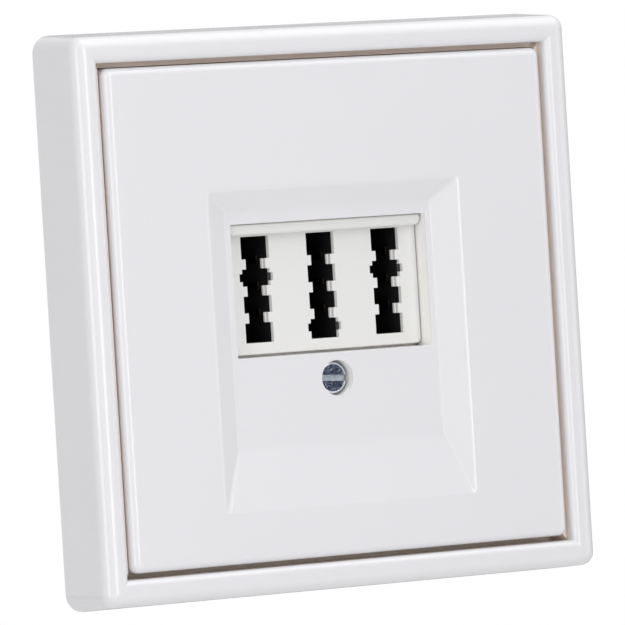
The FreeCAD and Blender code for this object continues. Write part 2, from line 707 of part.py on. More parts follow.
def contact_housing():
    # The moulded base: flange on the ring, box in the wall, stepped tower, chambers and terminal cells
    body = new_body("contact_housing")
    box_half = "(boxWidth / 2)"
    box = front_sketch(body, "-boxBack")
    add_rounded_rectangle(box, "-" + box_half, box_half, "-boxBottom", "boxTop", "boxCorner")
    pad(body, box, "boxBack + ringThickness + slideClearance")
    flange = front_sketch(body, "ringThickness")
    flange_half = "(boxWidth / 2 + flangeMargin)"
    add_rounded_rectangle(flange, "-" + flange_half, flange_half,
                          "-boxBottom - flangeRise", "boxTop + flangeRise", "boxCorner")
    pad(body, flange, "flangeThickness")
    low_half = "(%s - faceSkirtWall - slideClearance)" % skirt_half
    low_tower = front_sketch(body, flange_front + " - slideClearance")
    add_rectangle(low_tower, "-" + low_half, low_half,
                  skirt_bottom + " + faceSkirtWall + slideClearance",
                  skirt_top + " - faceSkirtWall - slideClearance")
    pad(body, low_tower, "towerStep + slideClearance")
    tower = front_sketch(body, flange_front)
    tower_half = "(%s - faceSkirtWall - slideClearance)" % face_half
    add_rectangle(tower, "-" + tower_half, tower_half,
                  face_bottom + " + faceWall + slideClearance", face_top + " - faceWall - slideClearance")
    pad(body, tower, tower_front + " - " + flange_front)
    chambers = front_sketch(body, tower_front)
    for index in slot_indexes:
        centre = slot_centre(index)
        add_rectangle(chambers, centre + " - slotWidth / 2", centre + " + slotWidth / 2",
                      slot_bottom, "slotTop")
    cut_back(body, chambers, tower_front + " + chamberBack")
    cavity = front_sketch(body, "-boxBack")
    cavity_half = "(boxWidth / 2 - boxWall)"
    add_rectangle(cavity, "-" + cavity_half, cavity_half, "boxWall - coverDrop", "boxTop - boxWall")
    cut_front(body, cavity, "boxBack - floorBack")
    tails = front_sketch(body, "-chamberBack")
    half_thick = "(springThickness / 2 + screwClearance)"
    half_high = "(springHeight / 2 + screwClearance)"
    for index in slot_indexes:
        for level in neck_centres:
            for side in ("-", "+"):
                across = "%s %s springRest" % (slot_centre(index), side)
                up = "%s %s springStagger" % (level, side)
                add_rectangle(tails, across + " - " + half_thick, across + " + " + half_thick,
                              up + " - " + half_high, up + " + " + half_high)
    cut_back(body, tails, "floorBack - chamberBack")
    cells = front_sketch(body, flange_front)
    blades = front_sketch(body, "-cellBack")
    screw_holes = front_sketch(body, "-cellBack")
    wire_holes = front_sketch(body, "-cellBack")
    for index in range(terminal_count):
        centre = terminal_centre(index)
        add_rectangle(cells, centre + " - cellWidth / 2", centre + " + cellWidth / 2",
                      "-cellBottom", "-cellTop")
        add_rectangle(blades, centre + " - bladeWidth / 2 - slideClearance",
                      centre + " + bladeWidth / 2 + slideClearance",
                      "-bladeDrop - bladeThickness / 2 - slideClearance",
                      "-bladeDrop + bladeThickness / 2 + slideClearance")
        add_square(screw_holes, centre, "-terminalDrop", "terminalShank + 2 * screwClearance")
        add_square(wire_holes, centre, "-wireDrop", "wireHole")
    cut_back(body, cells, flange_front + " + cellBack")
    cut_back(body, blades, "floorBack - cellBack")
    cut_back(body, screw_holes, "terminalBack + slideClearance - cellBack")
    cut_back(body, wire_holes, "boxBack - cellBack")
    bush_hole = front_sketch(body, flange_front)
    add_circle(bush_hole, "0", "-screwDrop", "bushWidth + 2 * screwClearance")
    cut_back(body, bush_hole, flange_front + " + bushBack")
    collar_hole = front_sketch(body, "-bushBack")
    add_circle(collar_hole, "0", "-screwDrop", "bushCollar + 2 * screwClearance")
    cut_back(body, collar_hole, "floorBack - bushBack")
    tongue_slots = front_sketch(body, flange_front)
    add_rectangle_pair(tongue_slots, "0", "(%s - tongueWall - slideClearance)" % skirt_half,
                       "(%s + slideClearance)" % skirt_half,
                       slot_middle + " - tongueWidth / 2 - slideClearance",
                       slot_middle + " + tongueWidth / 2 + slideClearance")
    cut_back(body, tongue_slots, "tongueLength + 2 * slideClearance")
    ring_holes = front_sketch(body, flange_front)
    for side in ("-", ""):
        add_circle(ring_holes, side + "ringScrewPlace", side + "ringScrewHeight",
                   "ringScrewShank + 2 * screwClearance")
    cut_back(body, ring_holes, "flangeThickness")
    return body


def rear_cover():
    # A flat cover with a spigot that fits the housing's rear cavity
    body = new_body("rear_cover")
    plate = front_sketch(body, "-boxBack - coverThickness")
    add_rounded_rectangle(plate, "-boxWidth / 2", "boxWidth / 2", "-coverDrop", "boxTop", "boxCorner")
    pad(body, plate, "coverThickness")
    spigot = front_sketch(body, "-boxBack")
    outer_half = "(boxWidth / 2 - boxWall - slideClearance)"
    inner_half = "(boxWidth / 2 - 2 * boxWall)"
    add_rectangle(spigot, "-" + outer_half, outer_half,
                  "boxWall - coverDrop + slideClearance", "boxTop - boxWall - slideClearance")
    add_rectangle(spigot, "-" + inner_half, inner_half, "2 * boxWall - coverDrop", "boxTop - 2 * boxWall")
    pad(body, spigot, "coverSpigot")
    return body


def contact_spring(index, number, level, side):
    # A bent strip: straight tail in the housing's floor, a bump towards the plug, and a flared tip
    body = new_body("contact_spring_%s_%d" % (slot_names[index], number))
    sketch = new_sketch(body, "XY_Plane", "%s %s springStagger" % (level, side))
    stations = [
        ("springRest", "floorBack"),
        ("springRest", "springBendBack"),
        ("springReach", "-springBumpFront"),
        ("springRest", "-springTipFront"),
    ]
    outside = [("%s(%s + springThickness / 2)" % (side, across), along) for across, along in stations]
    inside = [("%s(%s - springThickness / 2)" % (side, across), along) for across, along in stations]
    add_outline(sketch, outside + inside[::-1])
    strip = body.newObject("PartDesign::Pad", body.Label + "_strip")
    strip.Profile = sketch
    strip.Midplane = True
    strip.setExpression("Length", linked("springHeight"))
    sketch.Visibility = False
    body.setExpression("Placement.Base.x", linked(slot_centre(index)))
    return body


def terminal_centre(index):
    # Terminals stand in one row, centred under the slots
    return "%d * terminalPitch / 2" % (2 * index + 1 - terminal_count)


def box_between(label, left, right, front, back, bottom, top):
    # A block between two places in each direction; fronts are negative Y
    block = doc.addObject("Part::Box", label)
    block.setExpression("Length", linked("(%s) - (%s)" % (right, left)))
    block.setExpression("Width", linked("(%s) - (%s)" % (back, front)))
    block.setExpression("Height", linked("(%s) - (%s)" % (top, bottom)))
    block.setExpression("Placement.Base.x", linked(left))
    block.setExpression("Placement.Base.y", linked(front))
    block.setExpression("Placement.Base.z", linked(bottom))
    return block


def rod_between(label, across, up, diameter, front, back):
    # A round rod or hole along the screw direction
    rod = doc.addObject("Part::Cylinder", label)
    rod.setExpression("Radius", linked("(%s) / 2" % diameter))
    rod.setExpression("Height", linked("(%s) - (%s)" % (back, front)))
    rod.Placement = FreeCAD.Placement(FreeCAD.Vector(), FreeCAD.Rotation(FreeCAD.Vector(1, 0, 0), -90))
    rod.setExpression("Placement.Base.x", linked(across))
    rod.setExpression("Placement.Base.y", linked(front))
    rod.setExpression("Placement.Base.z", linked(up))
    return rod


def joined(label, shapes):
    whole = doc.addObject("Part::MultiFuse", label)
    whole.Shapes = shapes
    whole.Refine = True
    return whole


def cut(label, base, tool):
    whole = doc.addObject("Part::Cut", label)
    whole.Base = base
    whole.Tool = tool
    return whole


def grouped(label, shapes):
    # Identical pieces as separate solids under one name
    group = doc.addObject("Part::Compound", label)
    group.Links = shapes
    return group


def slotted_screw(label, across, up, head, head_height, shank, front, back, slot):
    # A slotted screw whose head's underside lies at the given front
    head_front = "(%s) - (%s)" % (front, head_height)
    head_rod = rod_between(label + "_head", across, up, head, head_front, front)
    shank_rod = rod_between(label + "_shank", across, up, shank, front, back)
    blank = joined(label + "_blank", [head_rod, shank_rod])
    groove = box_between(label + "_slot", "%s - %s" % (across, head), "%s + %s" % (across, head),
                         head_front, "%s + (%s) / 2" % (head_front, head_height),
                         "%s - %s / 2" % (up, slot), "%s + %s / 2" % (up, slot))
    return cut(label, blank, groove)


def link_strip(number, level):
    # A stamped conductor: bar across the springs' tails, leg, jog, and a blade forward to the terminal tab
    label = "link_strip_%d" % number
    rank = (terminal_count - number) // 2
    leg = "(stripLegInner + %d * stripLegStep)" % rank
    jog = "(%s - stripJogMargin - %d * stripJogStep)" % (slot_bottom, rank)
    right_hand = number % 2 == 0
    sign = "" if right_hand else "-"
    index = terminal_count // 2 + rank if right_hand else terminal_count // 2 - 1 - rank
    terminal = terminal_centre(index)
    leg_place = sign + leg
    far_end = "(slotPitch + springRest + stripWidth)"
    front, back = "floorBack", "floorBack + stripThickness"
    half = "stripWidth / 2"
    bar_left = "-" + far_end if right_hand else leg_place + " - " + half
    bar_right = leg_place + " + " + half if right_hand else far_end
    jog_left = "min(%s; %s) - %s" % (leg_place, terminal, half)
    jog_right = "max(%s; %s) + %s" % (leg_place, terminal, half)
    bar = box_between(label + "_bar", bar_left, bar_right, front, back,
                      "%s - %s" % (level, half), "%s + %s" % (level, half))
    down = box_between(label + "_leg", leg_place + " - " + half, leg_place + " + " + half, front, back,
                       jog + " - " + half, "%s + %s" % (level, half))
    across = box_between(label + "_jog", jog_left, jog_right, front, back,
                         jog + " - " + half, jog + " + " + half)
    foot = box_between(label + "_foot", terminal + " - " + half, terminal + " + " + half, front, back,
                       "-bladeDrop - bladeThickness / 2", jog + " + " + half)
    blade = box_between(label + "_blade", terminal + " - bladeWidth / 2", terminal + " + bladeWidth / 2",
                        "cellBack - tabThickness", back,
                        "-bladeDrop - bladeThickness / 2", "-bladeDrop + bladeThickness / 2")
    tab = box_between(label + "_tab", terminal + " - tabWidth / 2", terminal + " + tabWidth / 2",
                      "cellBack - tabThickness", "cellBack", "-tabBottom", "-tabTop")
    hole = rod_between(label + "_hole", terminal, "-terminalDrop", "terminalShank + 2 * screwClearance",
                       "cellBack - tabThickness - slideClearance", "cellBack + slideClearance")
    blank = joined(label + "_blank", [bar, down, across, foot, blade, tab])
    return cut(label, blank, hole)


def terminal_clamps():
    # Square washers that press the wires onto the terminal tabs
    clamps = []
    for index in range(terminal_count):
        name = "terminal_clamp_%d" % (index + 1)
        centre = terminal_centre(index)
        plate = box_between(name + "_plate", centre + " - tabWidth / 2", centre + " + tabWidth / 2",
                            clamp_back + " - clampThickness", clamp_back,
                            "-terminalDrop - clampHeight / 2", "-terminalDrop + clampHeight / 2")
        hole = rod_between(name + "_hole", centre, "-terminalDrop", "terminalShank + 2 * screwClearance",
                           clamp_back + " - clampThickness - slideClearance",
                           clamp_back + " + slideClearance")
        clamps.append(cut(name, plate, hole))
    return grouped("terminal_clamps", clamps)


def terminal_screws():
    screws = []
    for index in range(terminal_count):
        screws.append(slotted_screw("terminal_screw_%d" % (index + 1), terminal_centre(index),
                                    "-terminalDrop", "terminalHead", "terminalHeadHeight",
                                    "terminalShank", clamp_back + " - clampThickness",
                                    "terminalBack", "smallScrewSlot"))
    return grouped("terminal_screws", screws)


def ring_screws():
    screws = []
    for number, side in enumerate(("-", ""), start=1):
        screws.append(slotted_screw("ring_screw_%d" % number, side + "ringScrewPlace",
                                    side + "ringScrewHeight", "ringScrewHead", "ringScrewHeadHeight",
                                    "ringScrewShank", "-" + flange_front, "ringScrewBack",
                                    "smallScrewSlot"))
    return grouped("ring_screws", screws)


def build_pieces():
    pieces = [cover_frame(), centre_plate(), centre_screw(), threaded_bush(), support_ring(),
              socket_face(), contact_housing(), rear_cover()]
    for index in slot_indexes:
        number = 0
        for level in neck_centres:
            for side in ("+", "-"):
                number += 1
                pieces.append(contact_spring(index, number, level, side))
    number = 0
    for level in neck_centres:
        for side in ("+", "-"):
            number += 1
            pieces.append(link_strip(number, "%s %s springStagger" % (level, side)))
    pieces += [terminal_clamps(), terminal_screws(), ring_screws()]
    return pieces


def check_document():
    # Stops on a failed feature, or on a pocket that took nothing away
    for thing in doc.Objects:
        if "Invalid" in thing.State or "Error" in thing.State:
            raise RuntimeError("%s failed: %s" % (thing.Name, thing.State))
        if thing.TypeId == "PartDesign::Pocket":
            if thing.Shape.Volume >= thing.BaseFeature.Shape.Volume:
                raise RuntimeError(thing.Name + " cuts nothing")


def check_piece(piece):
    shape = piece.Shape
    if shape.isNull() or not shape.isValid() or not shape.Solids:
        raise RuntimeError(piece.Label + " has no valid solid")


def write_pieces(pieces):
    os.makedirs("parts", exist_ok=True)
    for piece in pieces:
        check_piece(piece)
        piece.Shape.exportStep("parts/%s.step" % piece.Label)
        print(piece.Label, len(piece.Shape.Solids), round(piece.Shape.Volume, 1))


all_pieces = build_pieces()
doc.recompute()
check_document()
write_pieces(all_pieces)
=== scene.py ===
import bpy
import bmesh
import math
from mathutils import Matrix, Vector


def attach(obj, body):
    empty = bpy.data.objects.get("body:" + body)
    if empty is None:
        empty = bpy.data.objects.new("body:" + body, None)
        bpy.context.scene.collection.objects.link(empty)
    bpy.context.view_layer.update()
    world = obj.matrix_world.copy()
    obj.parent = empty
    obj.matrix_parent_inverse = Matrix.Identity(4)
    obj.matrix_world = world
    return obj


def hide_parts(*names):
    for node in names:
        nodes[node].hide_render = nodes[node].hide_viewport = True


# A flush telephone wall socket, seen from its left at eye level.
# Everything is in metres in the socket's own frame: the wall is y = 0, the room is at -y, z is up.

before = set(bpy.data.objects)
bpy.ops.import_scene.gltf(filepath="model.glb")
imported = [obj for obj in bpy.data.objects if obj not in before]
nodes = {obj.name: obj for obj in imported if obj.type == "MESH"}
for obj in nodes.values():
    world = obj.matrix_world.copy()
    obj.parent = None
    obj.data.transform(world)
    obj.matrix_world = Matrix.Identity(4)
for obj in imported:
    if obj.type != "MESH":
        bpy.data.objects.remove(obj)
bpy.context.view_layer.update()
mm = 0.001
print("frame loaded:", len(nodes), "nodes")


# Camera: a long lens, as for a product shot from about a metre

cameraSettings = {
    "lens": 380.2,          # mm
    "sensor": 36.0,         # mm across
    "near": 50.0,           # mm; nothing nearer or farther than these two is drawn
    "far": 20000.0,
    "distance": 925.7,      # mm from the point it looks at
    "aim": (-4.5, -11.2, -0.6),
    "azimuth": -28.46,
    "elevation": 1.01,
    "roll": -3.49,          # the socket leans a little to the left in the picture
}


def direction(azimuth, elevation):
    # Points away from the socket; an azimuth of nought is straight in front, and both are in degrees
    turn = math.radians(azimuth)
    rise = math.radians(elevation)
    return Vector((math.sin(turn) * math.cos(rise), -math.cos(turn) * math.cos(rise), math.sin(rise)))


def lookingBack(towards):
    # The turn that makes a camera, a lamp or a card look back along its direction
    return (-towards).to_track_quat("-Z", "Y").to_matrix().to_4x4()


def makeCamera(cfg):
    data = bpy.data.cameras.new("camera")
    data.lens = cfg["lens"]
    data.sensor_width = cfg["sensor"]
    data.clip_start = cfg["near"] * mm
    data.clip_end = cfg["far"] * mm
    camera = bpy.data.objects.new("camera", data)
    towards = direction(cfg["azimuth"], cfg["elevation"])
    place = Matrix.Translation(Vector(cfg["aim"]) * mm + towards * cfg["distance"] * mm)
    roll = Matrix.Rotation(math.radians(cfg["roll"]), 4, "Z")
    camera.matrix_world = place @ lookingBack(towards) @ roll
    bpy.context.scene.collection.objects.link(camera)
    bpy.context.scene.camera = camera


makeCamera(cameraSettings)
print("camera set")


# Materials

def linear(hexCode):
    # sRGB hex to the linear colour that the sockets take
    values = [int(hexCode[place:place + 2], 16) / 255 for place in (0, 2, 4)]
    return [v / 12.92 if v <= 0.04045 else ((v + 0.055) / 1.055) ** 2.4 for v in values] + [1.0]


def addNode(tree, kind, settings=None, links=None):
    # settings go to an input socket of that name, or else to the node itself; links are socket: output
    node = tree.nodes.new(kind)
    for name, value in (settings or {}).items():
        if isinstance(name, int) or name in node.inputs:
            node.inputs[name].default_value = value
        else:
            setattr(node, name, value)
    for name, output in (links or {}).items():
        tree.links.new(output, node.inputs[name])
    return node


def newMaterial(name):
    material = bpy.data.materials.new(name)
    material.use_nodes = True
    tree = material.node_tree
    tree.nodes.clear()
    return material, tree


def finishMaterial(tree, shader):
    addNode(tree, "ShaderNodeOutputMaterial", links={"Surface": shader.outputs[0]})


def millimetres(tree):
    # Object coordinates in millimetres, so that each pattern's scale is one over its real size
    place = addNode(tree, "ShaderNodeTexCoord")
    return addNode(tree, "ShaderNodeVectorMath", {"operation": "SCALE", "Scale": 1 / mm},
                   {0: place.outputs["Object"]})


glossPlastic = {
    "colour": "EBEAED",
    "shade": "E7E6E9",      # the pigment's faint clouds
    "cloud": 14.0,          # mm across
    "cloudSpan": (0.3, 0.7),        # where most of the noise's values lie
    "roughness": 0.13,
    "polish": 0.06,         # how much the roughness wanders
    "peel": 1.6,            # mm, waviness that the mould's polish leaves
    "peelDepth": 0.0022,    # mm
    "paintedJointGlow": "F2E6DC",  # painted light: a warm glow deep in the joint, standing in for light that passes through the walls
    "gapHalf": (34.93, 35.9),       # mm from the middle, where the joint's walls stand
    "gapFront": (9.4, 10.4),        # mm off the wall, where the painted glow fades in
    "innerColour": "FFFDFA",        # painted light: a pale glow on the walls inside the plate, standing in for that light too
    "innerFront": (0.0, 0.1),
}

satinPlastic = {
    **glossPlastic,
    "colour": "E9E9E8",
    "shade": "E5E5E3",
    "roughness": 0.3,
    "peel": 0.5,
    "peelDepth": 0.003,
}


def calculate(tree, operation, first, second):
    # One sum on two values, each an output or a plain number
    node = addNode(tree, "ShaderNodeMath", {"operation": operation})
    for place, value in enumerate((first, second)):
        if isinstance(value, (int, float)):
            node.inputs[place].default_value = value
        else:
            tree.links.new(value, node.inputs[place])
    return node.outputs[0]


def paintedGlowShares(tree, space, cfg):
    # Masks for the painted glow: how far a spot lies in the joint round the plate, and how far down on
    # the walls within it
    parts = addNode(tree, "ShaderNodeSeparateXYZ", links={"Vector": space.outputs[0]}).outputs
    across = calculate(tree, "ABSOLUTE", parts["X"], 0)
    up = calculate(tree, "ABSOLUTE", parts["Z"], 0)
    reach = calculate(tree, "MAXIMUM", across, up)
    near, far = cfg["gapHalf"]
    beyond = calculate(tree, "GREATER_THAN", reach, near)
    inJoint = calculate(tree, "MULTIPLY", beyond, calculate(tree, "LESS_THAN", reach, far))
    depths = []
    for low, high in (cfg["gapFront"], cfg["innerFront"]):
        depths.append(addNode(tree, "ShaderNodeMapRange", {"From Min": -high, "From Max": -low},
                              {"Value": parts["Y"]}).outputs["Result"])
    joint = calculate(tree, "MULTIPLY", inJoint, depths[0])
    inner = calculate(tree, "MULTIPLY", calculate(tree, "SUBTRACT", 1, beyond), depths[1])
    return joint, inner


def makeMouldedPlastic(name, cfg):
    # Plastic as it leaves a polished tool: clean reflections that waver slightly, like lacquer, over a
    # milky body. Where two walls stand close, the light that would pass through them is painted into the
    # colour
    material, tree = newMaterial(name)
    space = millimetres(tree)
    cloud = addNode(tree, "ShaderNodeTexNoise", {"Scale": 1 / cfg["cloud"], "Detail": 2.0},
                    {"Vector": space.outputs[0]})
    tint = addNode(tree, "ShaderNodeMix", {"data_type": "RGBA", "A": linear(cfg["colour"]),
                                          "B": linear(cfg["shade"])}, {"Factor": cloud.outputs["Fac"]})
    low, high = cfg["cloudSpan"]
    rough = addNode(tree, "ShaderNodeMapRange", {"From Min": low, "From Max": high,
                                                "To Min": cfg["roughness"] - cfg["polish"] / 2,
                                                "To Max": cfg["roughness"] + cfg["polish"] / 2},
                    {"Value": cloud.outputs["Fac"]})
    peel = addNode(tree, "ShaderNodeTexNoise", {"Scale": 1 / cfg["peel"], "Detail": 1.0},
                   {"Vector": space.outputs[0]})
    bump = addNode(tree, "ShaderNodeBump", {"Strength": 1.0, "Distance": cfg["peelDepth"] * mm},
                   {"Height": peel.outputs["Fac"]})
    # Painted light: the joint's walls take a warm glow and the inner walls a pale one, mixed into the
    # colour
    joint, inner = paintedGlowShares(tree, space, cfg)
    warm = addNode(tree, "ShaderNodeMix", {"data_type": "RGBA", "B": linear(cfg["paintedJointGlow"])},
                   {"Factor": joint, "A": tint.outputs["Result"]})
    glow = addNode(tree, "ShaderNodeMix", {"data_type": "RGBA", "B": linear(cfg["innerColour"])},
                   {"Factor": inner, "A": warm.outputs["Result"]})
    shader = addNode(tree, "ShaderNodeBsdfPrincipled", {"IOR": 1.57},
                     {"Base Color": glow.outputs["Result"], "Roughness": rough.outputs["Result"],
                      "Normal": bump.outputs["Normal"]})
    finishMaterial(tree, shader)
    return material


darkPlastic = {
    "colour": "17171A",
    "worn": "242428",       # paler where the grain stands up
    "grain": 0.35,          # mm; real spark grain is nearer 0.05 and would not show
    "grainDepth": 0.012,
    "roughness": 0.48,
}


def makeSparkedPlastic(name, cfg):
    # Glass-filled polyamide from a spark-eroded tool: near black, with a dry grain that scatters light
    material, tree = newMaterial(name)
    space = millimetres(tree)
    grain = addNode(tree, "ShaderNodeTexNoise", {"Scale": 1 / cfg["grain"], "Detail": 3.0},
                    {"Vector": space.outputs[0]})
    tint = addNode(tree, "ShaderNodeMix", {"data_type": "RGBA", "A": linear(cfg["colour"]),
                                          "B": linear(cfg["worn"])}, {"Factor": grain.outputs["Fac"]})
    bump = addNode(tree, "ShaderNodeBump", {"Strength": 1.0, "Distance": cfg["grainDepth"] * mm},
                   {"Height": grain.outputs["Fac"]})
    shader = addNode(tree, "ShaderNodeBsdfPrincipled", {"IOR": 1.53, "Roughness": cfg["roughness"]},
                     {"Base Color": tint.outputs["Result"], "Normal": bump.outputs["Normal"]})
    finishMaterial(tree, shader)
    return material


platedZinc = {
    "colour": "D4DAE6",
    "patch": "8C97AE",      # duller crystals
    "crystal": 0.13,        # mm across; real ones are finer and would not show
    "roughness": (0.05, 0.28),
    "speck": 1.6,           # the higher, the fewer crystals lie askew and glint
    "relief": 0.002,
}


def makePlatedMetal(name, cfg):
    # Steel with an electroplated skin: bright, faintly blue, and speckled where single crystals lie at
    # other angles
    material, tree = newMaterial(name)
    space = millimetres(tree)
    crystals = addNode(tree, "ShaderNodeTexVoronoi", {"Scale": 1 / cfg["crystal"]},
                       {"Vector": space.outputs[0]})
    shades = addNode(tree, "ShaderNodeSeparateColor", links={"Color": crystals.outputs["Color"]})
    tint = addNode(tree, "ShaderNodeMix", {"data_type": "RGBA", "A": linear(cfg["colour"]),
                                          "B": linear(cfg["patch"])}, {"Factor": shades.outputs["Red"]})
    low, high = cfg["roughness"]
    askew = calculate(tree, "POWER", shades.outputs["Green"], cfg["speck"])
    rough = addNode(tree, "ShaderNodeMapRange", {"To Min": low, "To Max": high}, {"Value": askew})
    bump = addNode(tree, "ShaderNodeBump", {"Strength": 1.0, "Distance": cfg["relief"] * mm},
                   {"Height": crystals.outputs["Distance"]})
    shader = addNode(tree, "ShaderNodeBsdfPrincipled", {"Metallic": 1.0},
                     {"Base Color": tint.outputs["Result"], "Roughness": rough.outputs["Result"],
                      "Normal": bump.outputs["Normal"]})
    finishMaterial(tree, shader)
    return material


rolledCopper = {
    "line": 0.12,           # mm between the rollers' marks
    "stretch": 14.0,        # how much longer than wide a mark is
    "relief": 0.0012,
    "stain": 2.5,           # mm, patches of tarnish
    "roughness": 0.3,
}


def makeRolledMetal(name, colour, tarnish, cfg):
    # Copper alloy strip as it leaves the rollers: fine lines along it, warm, with patches of tarnish
    material, tree = newMaterial(name)
    space = millimetres(tree)
    along = addNode(tree, "ShaderNodeMapping", {"Scale": (1, 1 / cfg["stretch"], 1)},
                    {"Vector": space.outputs[0]})
    lines = addNode(tree, "ShaderNodeTexNoise", {"Scale": 1 / cfg["line"], "Detail": 2.0},
                    {"Vector": along.outputs[0]})
    stain = addNode(tree, "ShaderNodeTexNoise", {"Scale": 1 / cfg["stain"], "Detail": 4.0},
                    {"Vector": space.outputs[0]})
    tint = addNode(tree, "ShaderNodeMix", {"data_type": "RGBA", "A": linear(colour),
                                          "B": linear(tarnish)}, {"Factor": stain.outputs["Fac"]})
    bump = addNode(tree, "ShaderNodeBump", {"Strength": 1.0, "Distance": cfg["relief"] * mm},
                   {"Height": lines.outputs["Fac"]})
    shader = addNode(tree, "ShaderNodeBsdfPrincipled", {"Metallic": 1.0, "Roughness": cfg["roughness"]},
                     {"Base Color": tint.outputs["Result"], "Normal": bump.outputs["Normal"]})
    finishMaterial(tree, shader)
    return material


def dress(name, material):
    # A node that keeps its own solid gets its finish here
    data = nodes[name].data
    data.materials.clear()
    data.materials.append(material)


frameWhite = makeMouldedPlastic("whiteStyreneGlossMoulded", glossPlastic)
# The plate's window walls below the recess floor, and the face's walls behind its front, take the painted
# inner glow
plateWhite = makeMouldedPlastic("whiteStyreneGlossPlate",
                                {**glossPlastic, "cloud": 22.0, "innerFront": (8.9, 9.1)})
faceWhite = makeMouldedPlastic("ivoryStyreneSatinMoulded", {**satinPlastic, "innerFront": (6.0, 6.2)})
housingBlack = makeSparkedPlastic("blackPolyamideSparked", darkPlastic)
coverBlack = makeSparkedPlastic("blackPolyamideSparkedCoarse", {**darkPlastic, "grain": 0.5})
ringZinc = makePlatedMetal("steelSheetZincPlated", {**platedZinc, "colour": "C6CACE", "patch": "B9BDC3",
                                                    "crystal": 0.4, "roughness": (0.24, 0.32)})
screwZinc = makePlatedMetal("steelScrewBlueZinc", platedZinc)
# The saw leaves the slot's floor dull and grey, and handling leaves the head's edge white and soft
cutZinc = makePlatedMetal("steelScrewSlotCut", {**platedZinc, "colour": "BCC4CA", "patch": "98A0AA",
                                                "roughness": (0.45, 0.6)})
rubbedZinc = makePlatedMetal("steelScrewEdgeRubbed", {**platedZinc, "colour": "F2F4F8", "patch": "DDE2EA",
                                                      "roughness": (0.25, 0.4)})
# Painted shade: the springs are coloured a dim grey-brown because they lie in the dark chamber behind the
# slots; the patches of tarnish over it are the metal's own
springBronze = makeRolledMetal("phosphorBronzeTarnishAndPaintedShade", "6C645C", "46403A", rolledCopper)
stripBrass = makeRolledMetal("brassStripRolled", "D8BC7A", "A98B4C", rolledCopper)
bushBrass = makeRolledMetal("brassRodTurned", "DBC080", "B3965A", {**rolledCopper, "stretch": 1.0})
print("materials made")


# Mesh tools: everything below is written in millimetres, with "front" for the height off the wall

overlap = 0.1               # how far one form reaches into the next, so that the two join
nearly = 0.01               # two measures that differ by less are the same
hiddenCorner = 0.1          # radius in the corners that nobody sees
shading = {
    "smoothAngle": 30.0,    # degrees; a fold sharper than this stays an edge
    "flatWeight": 90,       # how far a large flat face rules the shading at its edges
}


def rectLoop(left, right, bottom, top, corner, front, steps):
    # Points round a rectangle with rounded corners, anticlockwise as the room sees it. The front may be
    # one height, or one for each side: right, top, left, bottom. The corner may be one radius, or one for
    # each corner, from the lower right one on.
    fronts = front if isinstance(front, (list, tuple)) else [front] * 4
    corners = corner if isinstance(corner, (list, tuple)) else [corner] * 4
    spots = [(right, bottom, -1, 1), (right, top, -1, -1), (left, top, 1, -1), (left, bottom, 1, 1)]
    points = []
    for quarter, (x, z, inX, inZ) in enumerate(spots):
        bend = corners[quarter]
        for step in range(steps + 1):
            share = step / steps
            angle = (quarter - 1 + share) * math.pi / 2
            height = fronts[quarter - 1] * (1 - share) + fronts[quarter] * share
            points.append((x + bend * (inX + math.cos(angle)), -height,
                           z + bend * (inZ + math.sin(angle))))
    return points


def squareLoop(half, corner, front, steps):
    return rectLoop(-half, half, -half, half, corner, front, steps)


def sidesLoop(sides, corner, front, steps=8):
    # The same, for a rectangle given as how far each side stands from the centre
    right, top, left, bottom = sides
    return rectLoop(-left, right, -bottom, top, corner, front, steps)


def roundLoop(z, radius, front, steps):
    turns = [2 * math.pi * step / steps for step in range(steps)]
    return [(radius * math.cos(turn), -front, z + radius * math.sin(turn)) for turn in turns]


def quarterTurns(steps):
    # Angles from nought to a quarter turn
    return [step / steps * math.pi / 2 for step in range(steps + 1)]


def roundedOutline(corners, closed=True, steps=8):
    # Corners are (across, front, radius): straight runs with an arc wherever the radius isn't nought
    outline = []
    last = len(corners) - 1
    for index, (across, front, radius) in enumerate(corners):
        here = Vector((across, front))
        atEnd = not closed and index in (0, last)
        if radius == 0 or atEnd:
            outline.append(here)
            continue
        before = (Vector(corners[index - 1][:2]) - here).normalized()
        after = (Vector(corners[(index + 1) % len(corners)][:2]) - here).normalized()
        half = before.angle(after) / 2
        centre = here + (before + after).normalized() * radius / math.sin(half)
        start = here + before * radius / math.tan(half) - centre
        end = here + after * radius / math.tan(half) - centre
        outline += [centre + start.slerp(end, step / steps) * radius for step in range(steps + 1)]
    return outline


def addShell(bm, loops, closed):
    # Skins a row of loops; a closed row meets itself like a tyre, an open one gets its two end faces
    rings = [[bm.verts.new(Vector(point) * mm) for point in loop] for loop in loops]
    count = len(rings[0])
    pairs = list(zip(rings, rings[1:] + rings[:1])) if closed else list(zip(rings, rings[1:]))
    for first, second in pairs:
        for index in range(count):
            following = (index + 1) % count
            bm.faces.new((first[index], first[following], second[following], second[index]))
    if not closed:
        bm.faces.new(rings[0])
        bm.faces.new(rings[-1])


def addBlock(bm, left, right, bottom, top, back, front, corner=0.05):
    # A block with one small facet along each edge that runs from back to front
    loops = [rectLoop(left, right, bottom, top, corner, height, 1) for height in (back, front)]
    addShell(bm, loops, False)


def addTurned(bm, z, outline, closed, steps):
    # A turned form in the screw's line, from (radius, front) stations
    addShell(bm, [roundLoop(z, radius, front, steps) for radius, front in outline], closed)


def closeMesh(bm, mesh):
    # Turns every face outward and hands the form over
    bmesh.ops.recalc_face_normals(bm, faces=bm.faces)
    bm.to_mesh(mesh)
    bm.free()


def meshFrom(name, bm):
    mesh = bpy.data.meshes.new(name)
    closeMesh(bm, mesh)
    return mesh


def reopen(piece):
    bm = bmesh.new()
    bm.from_mesh(piece.data)
    return bm


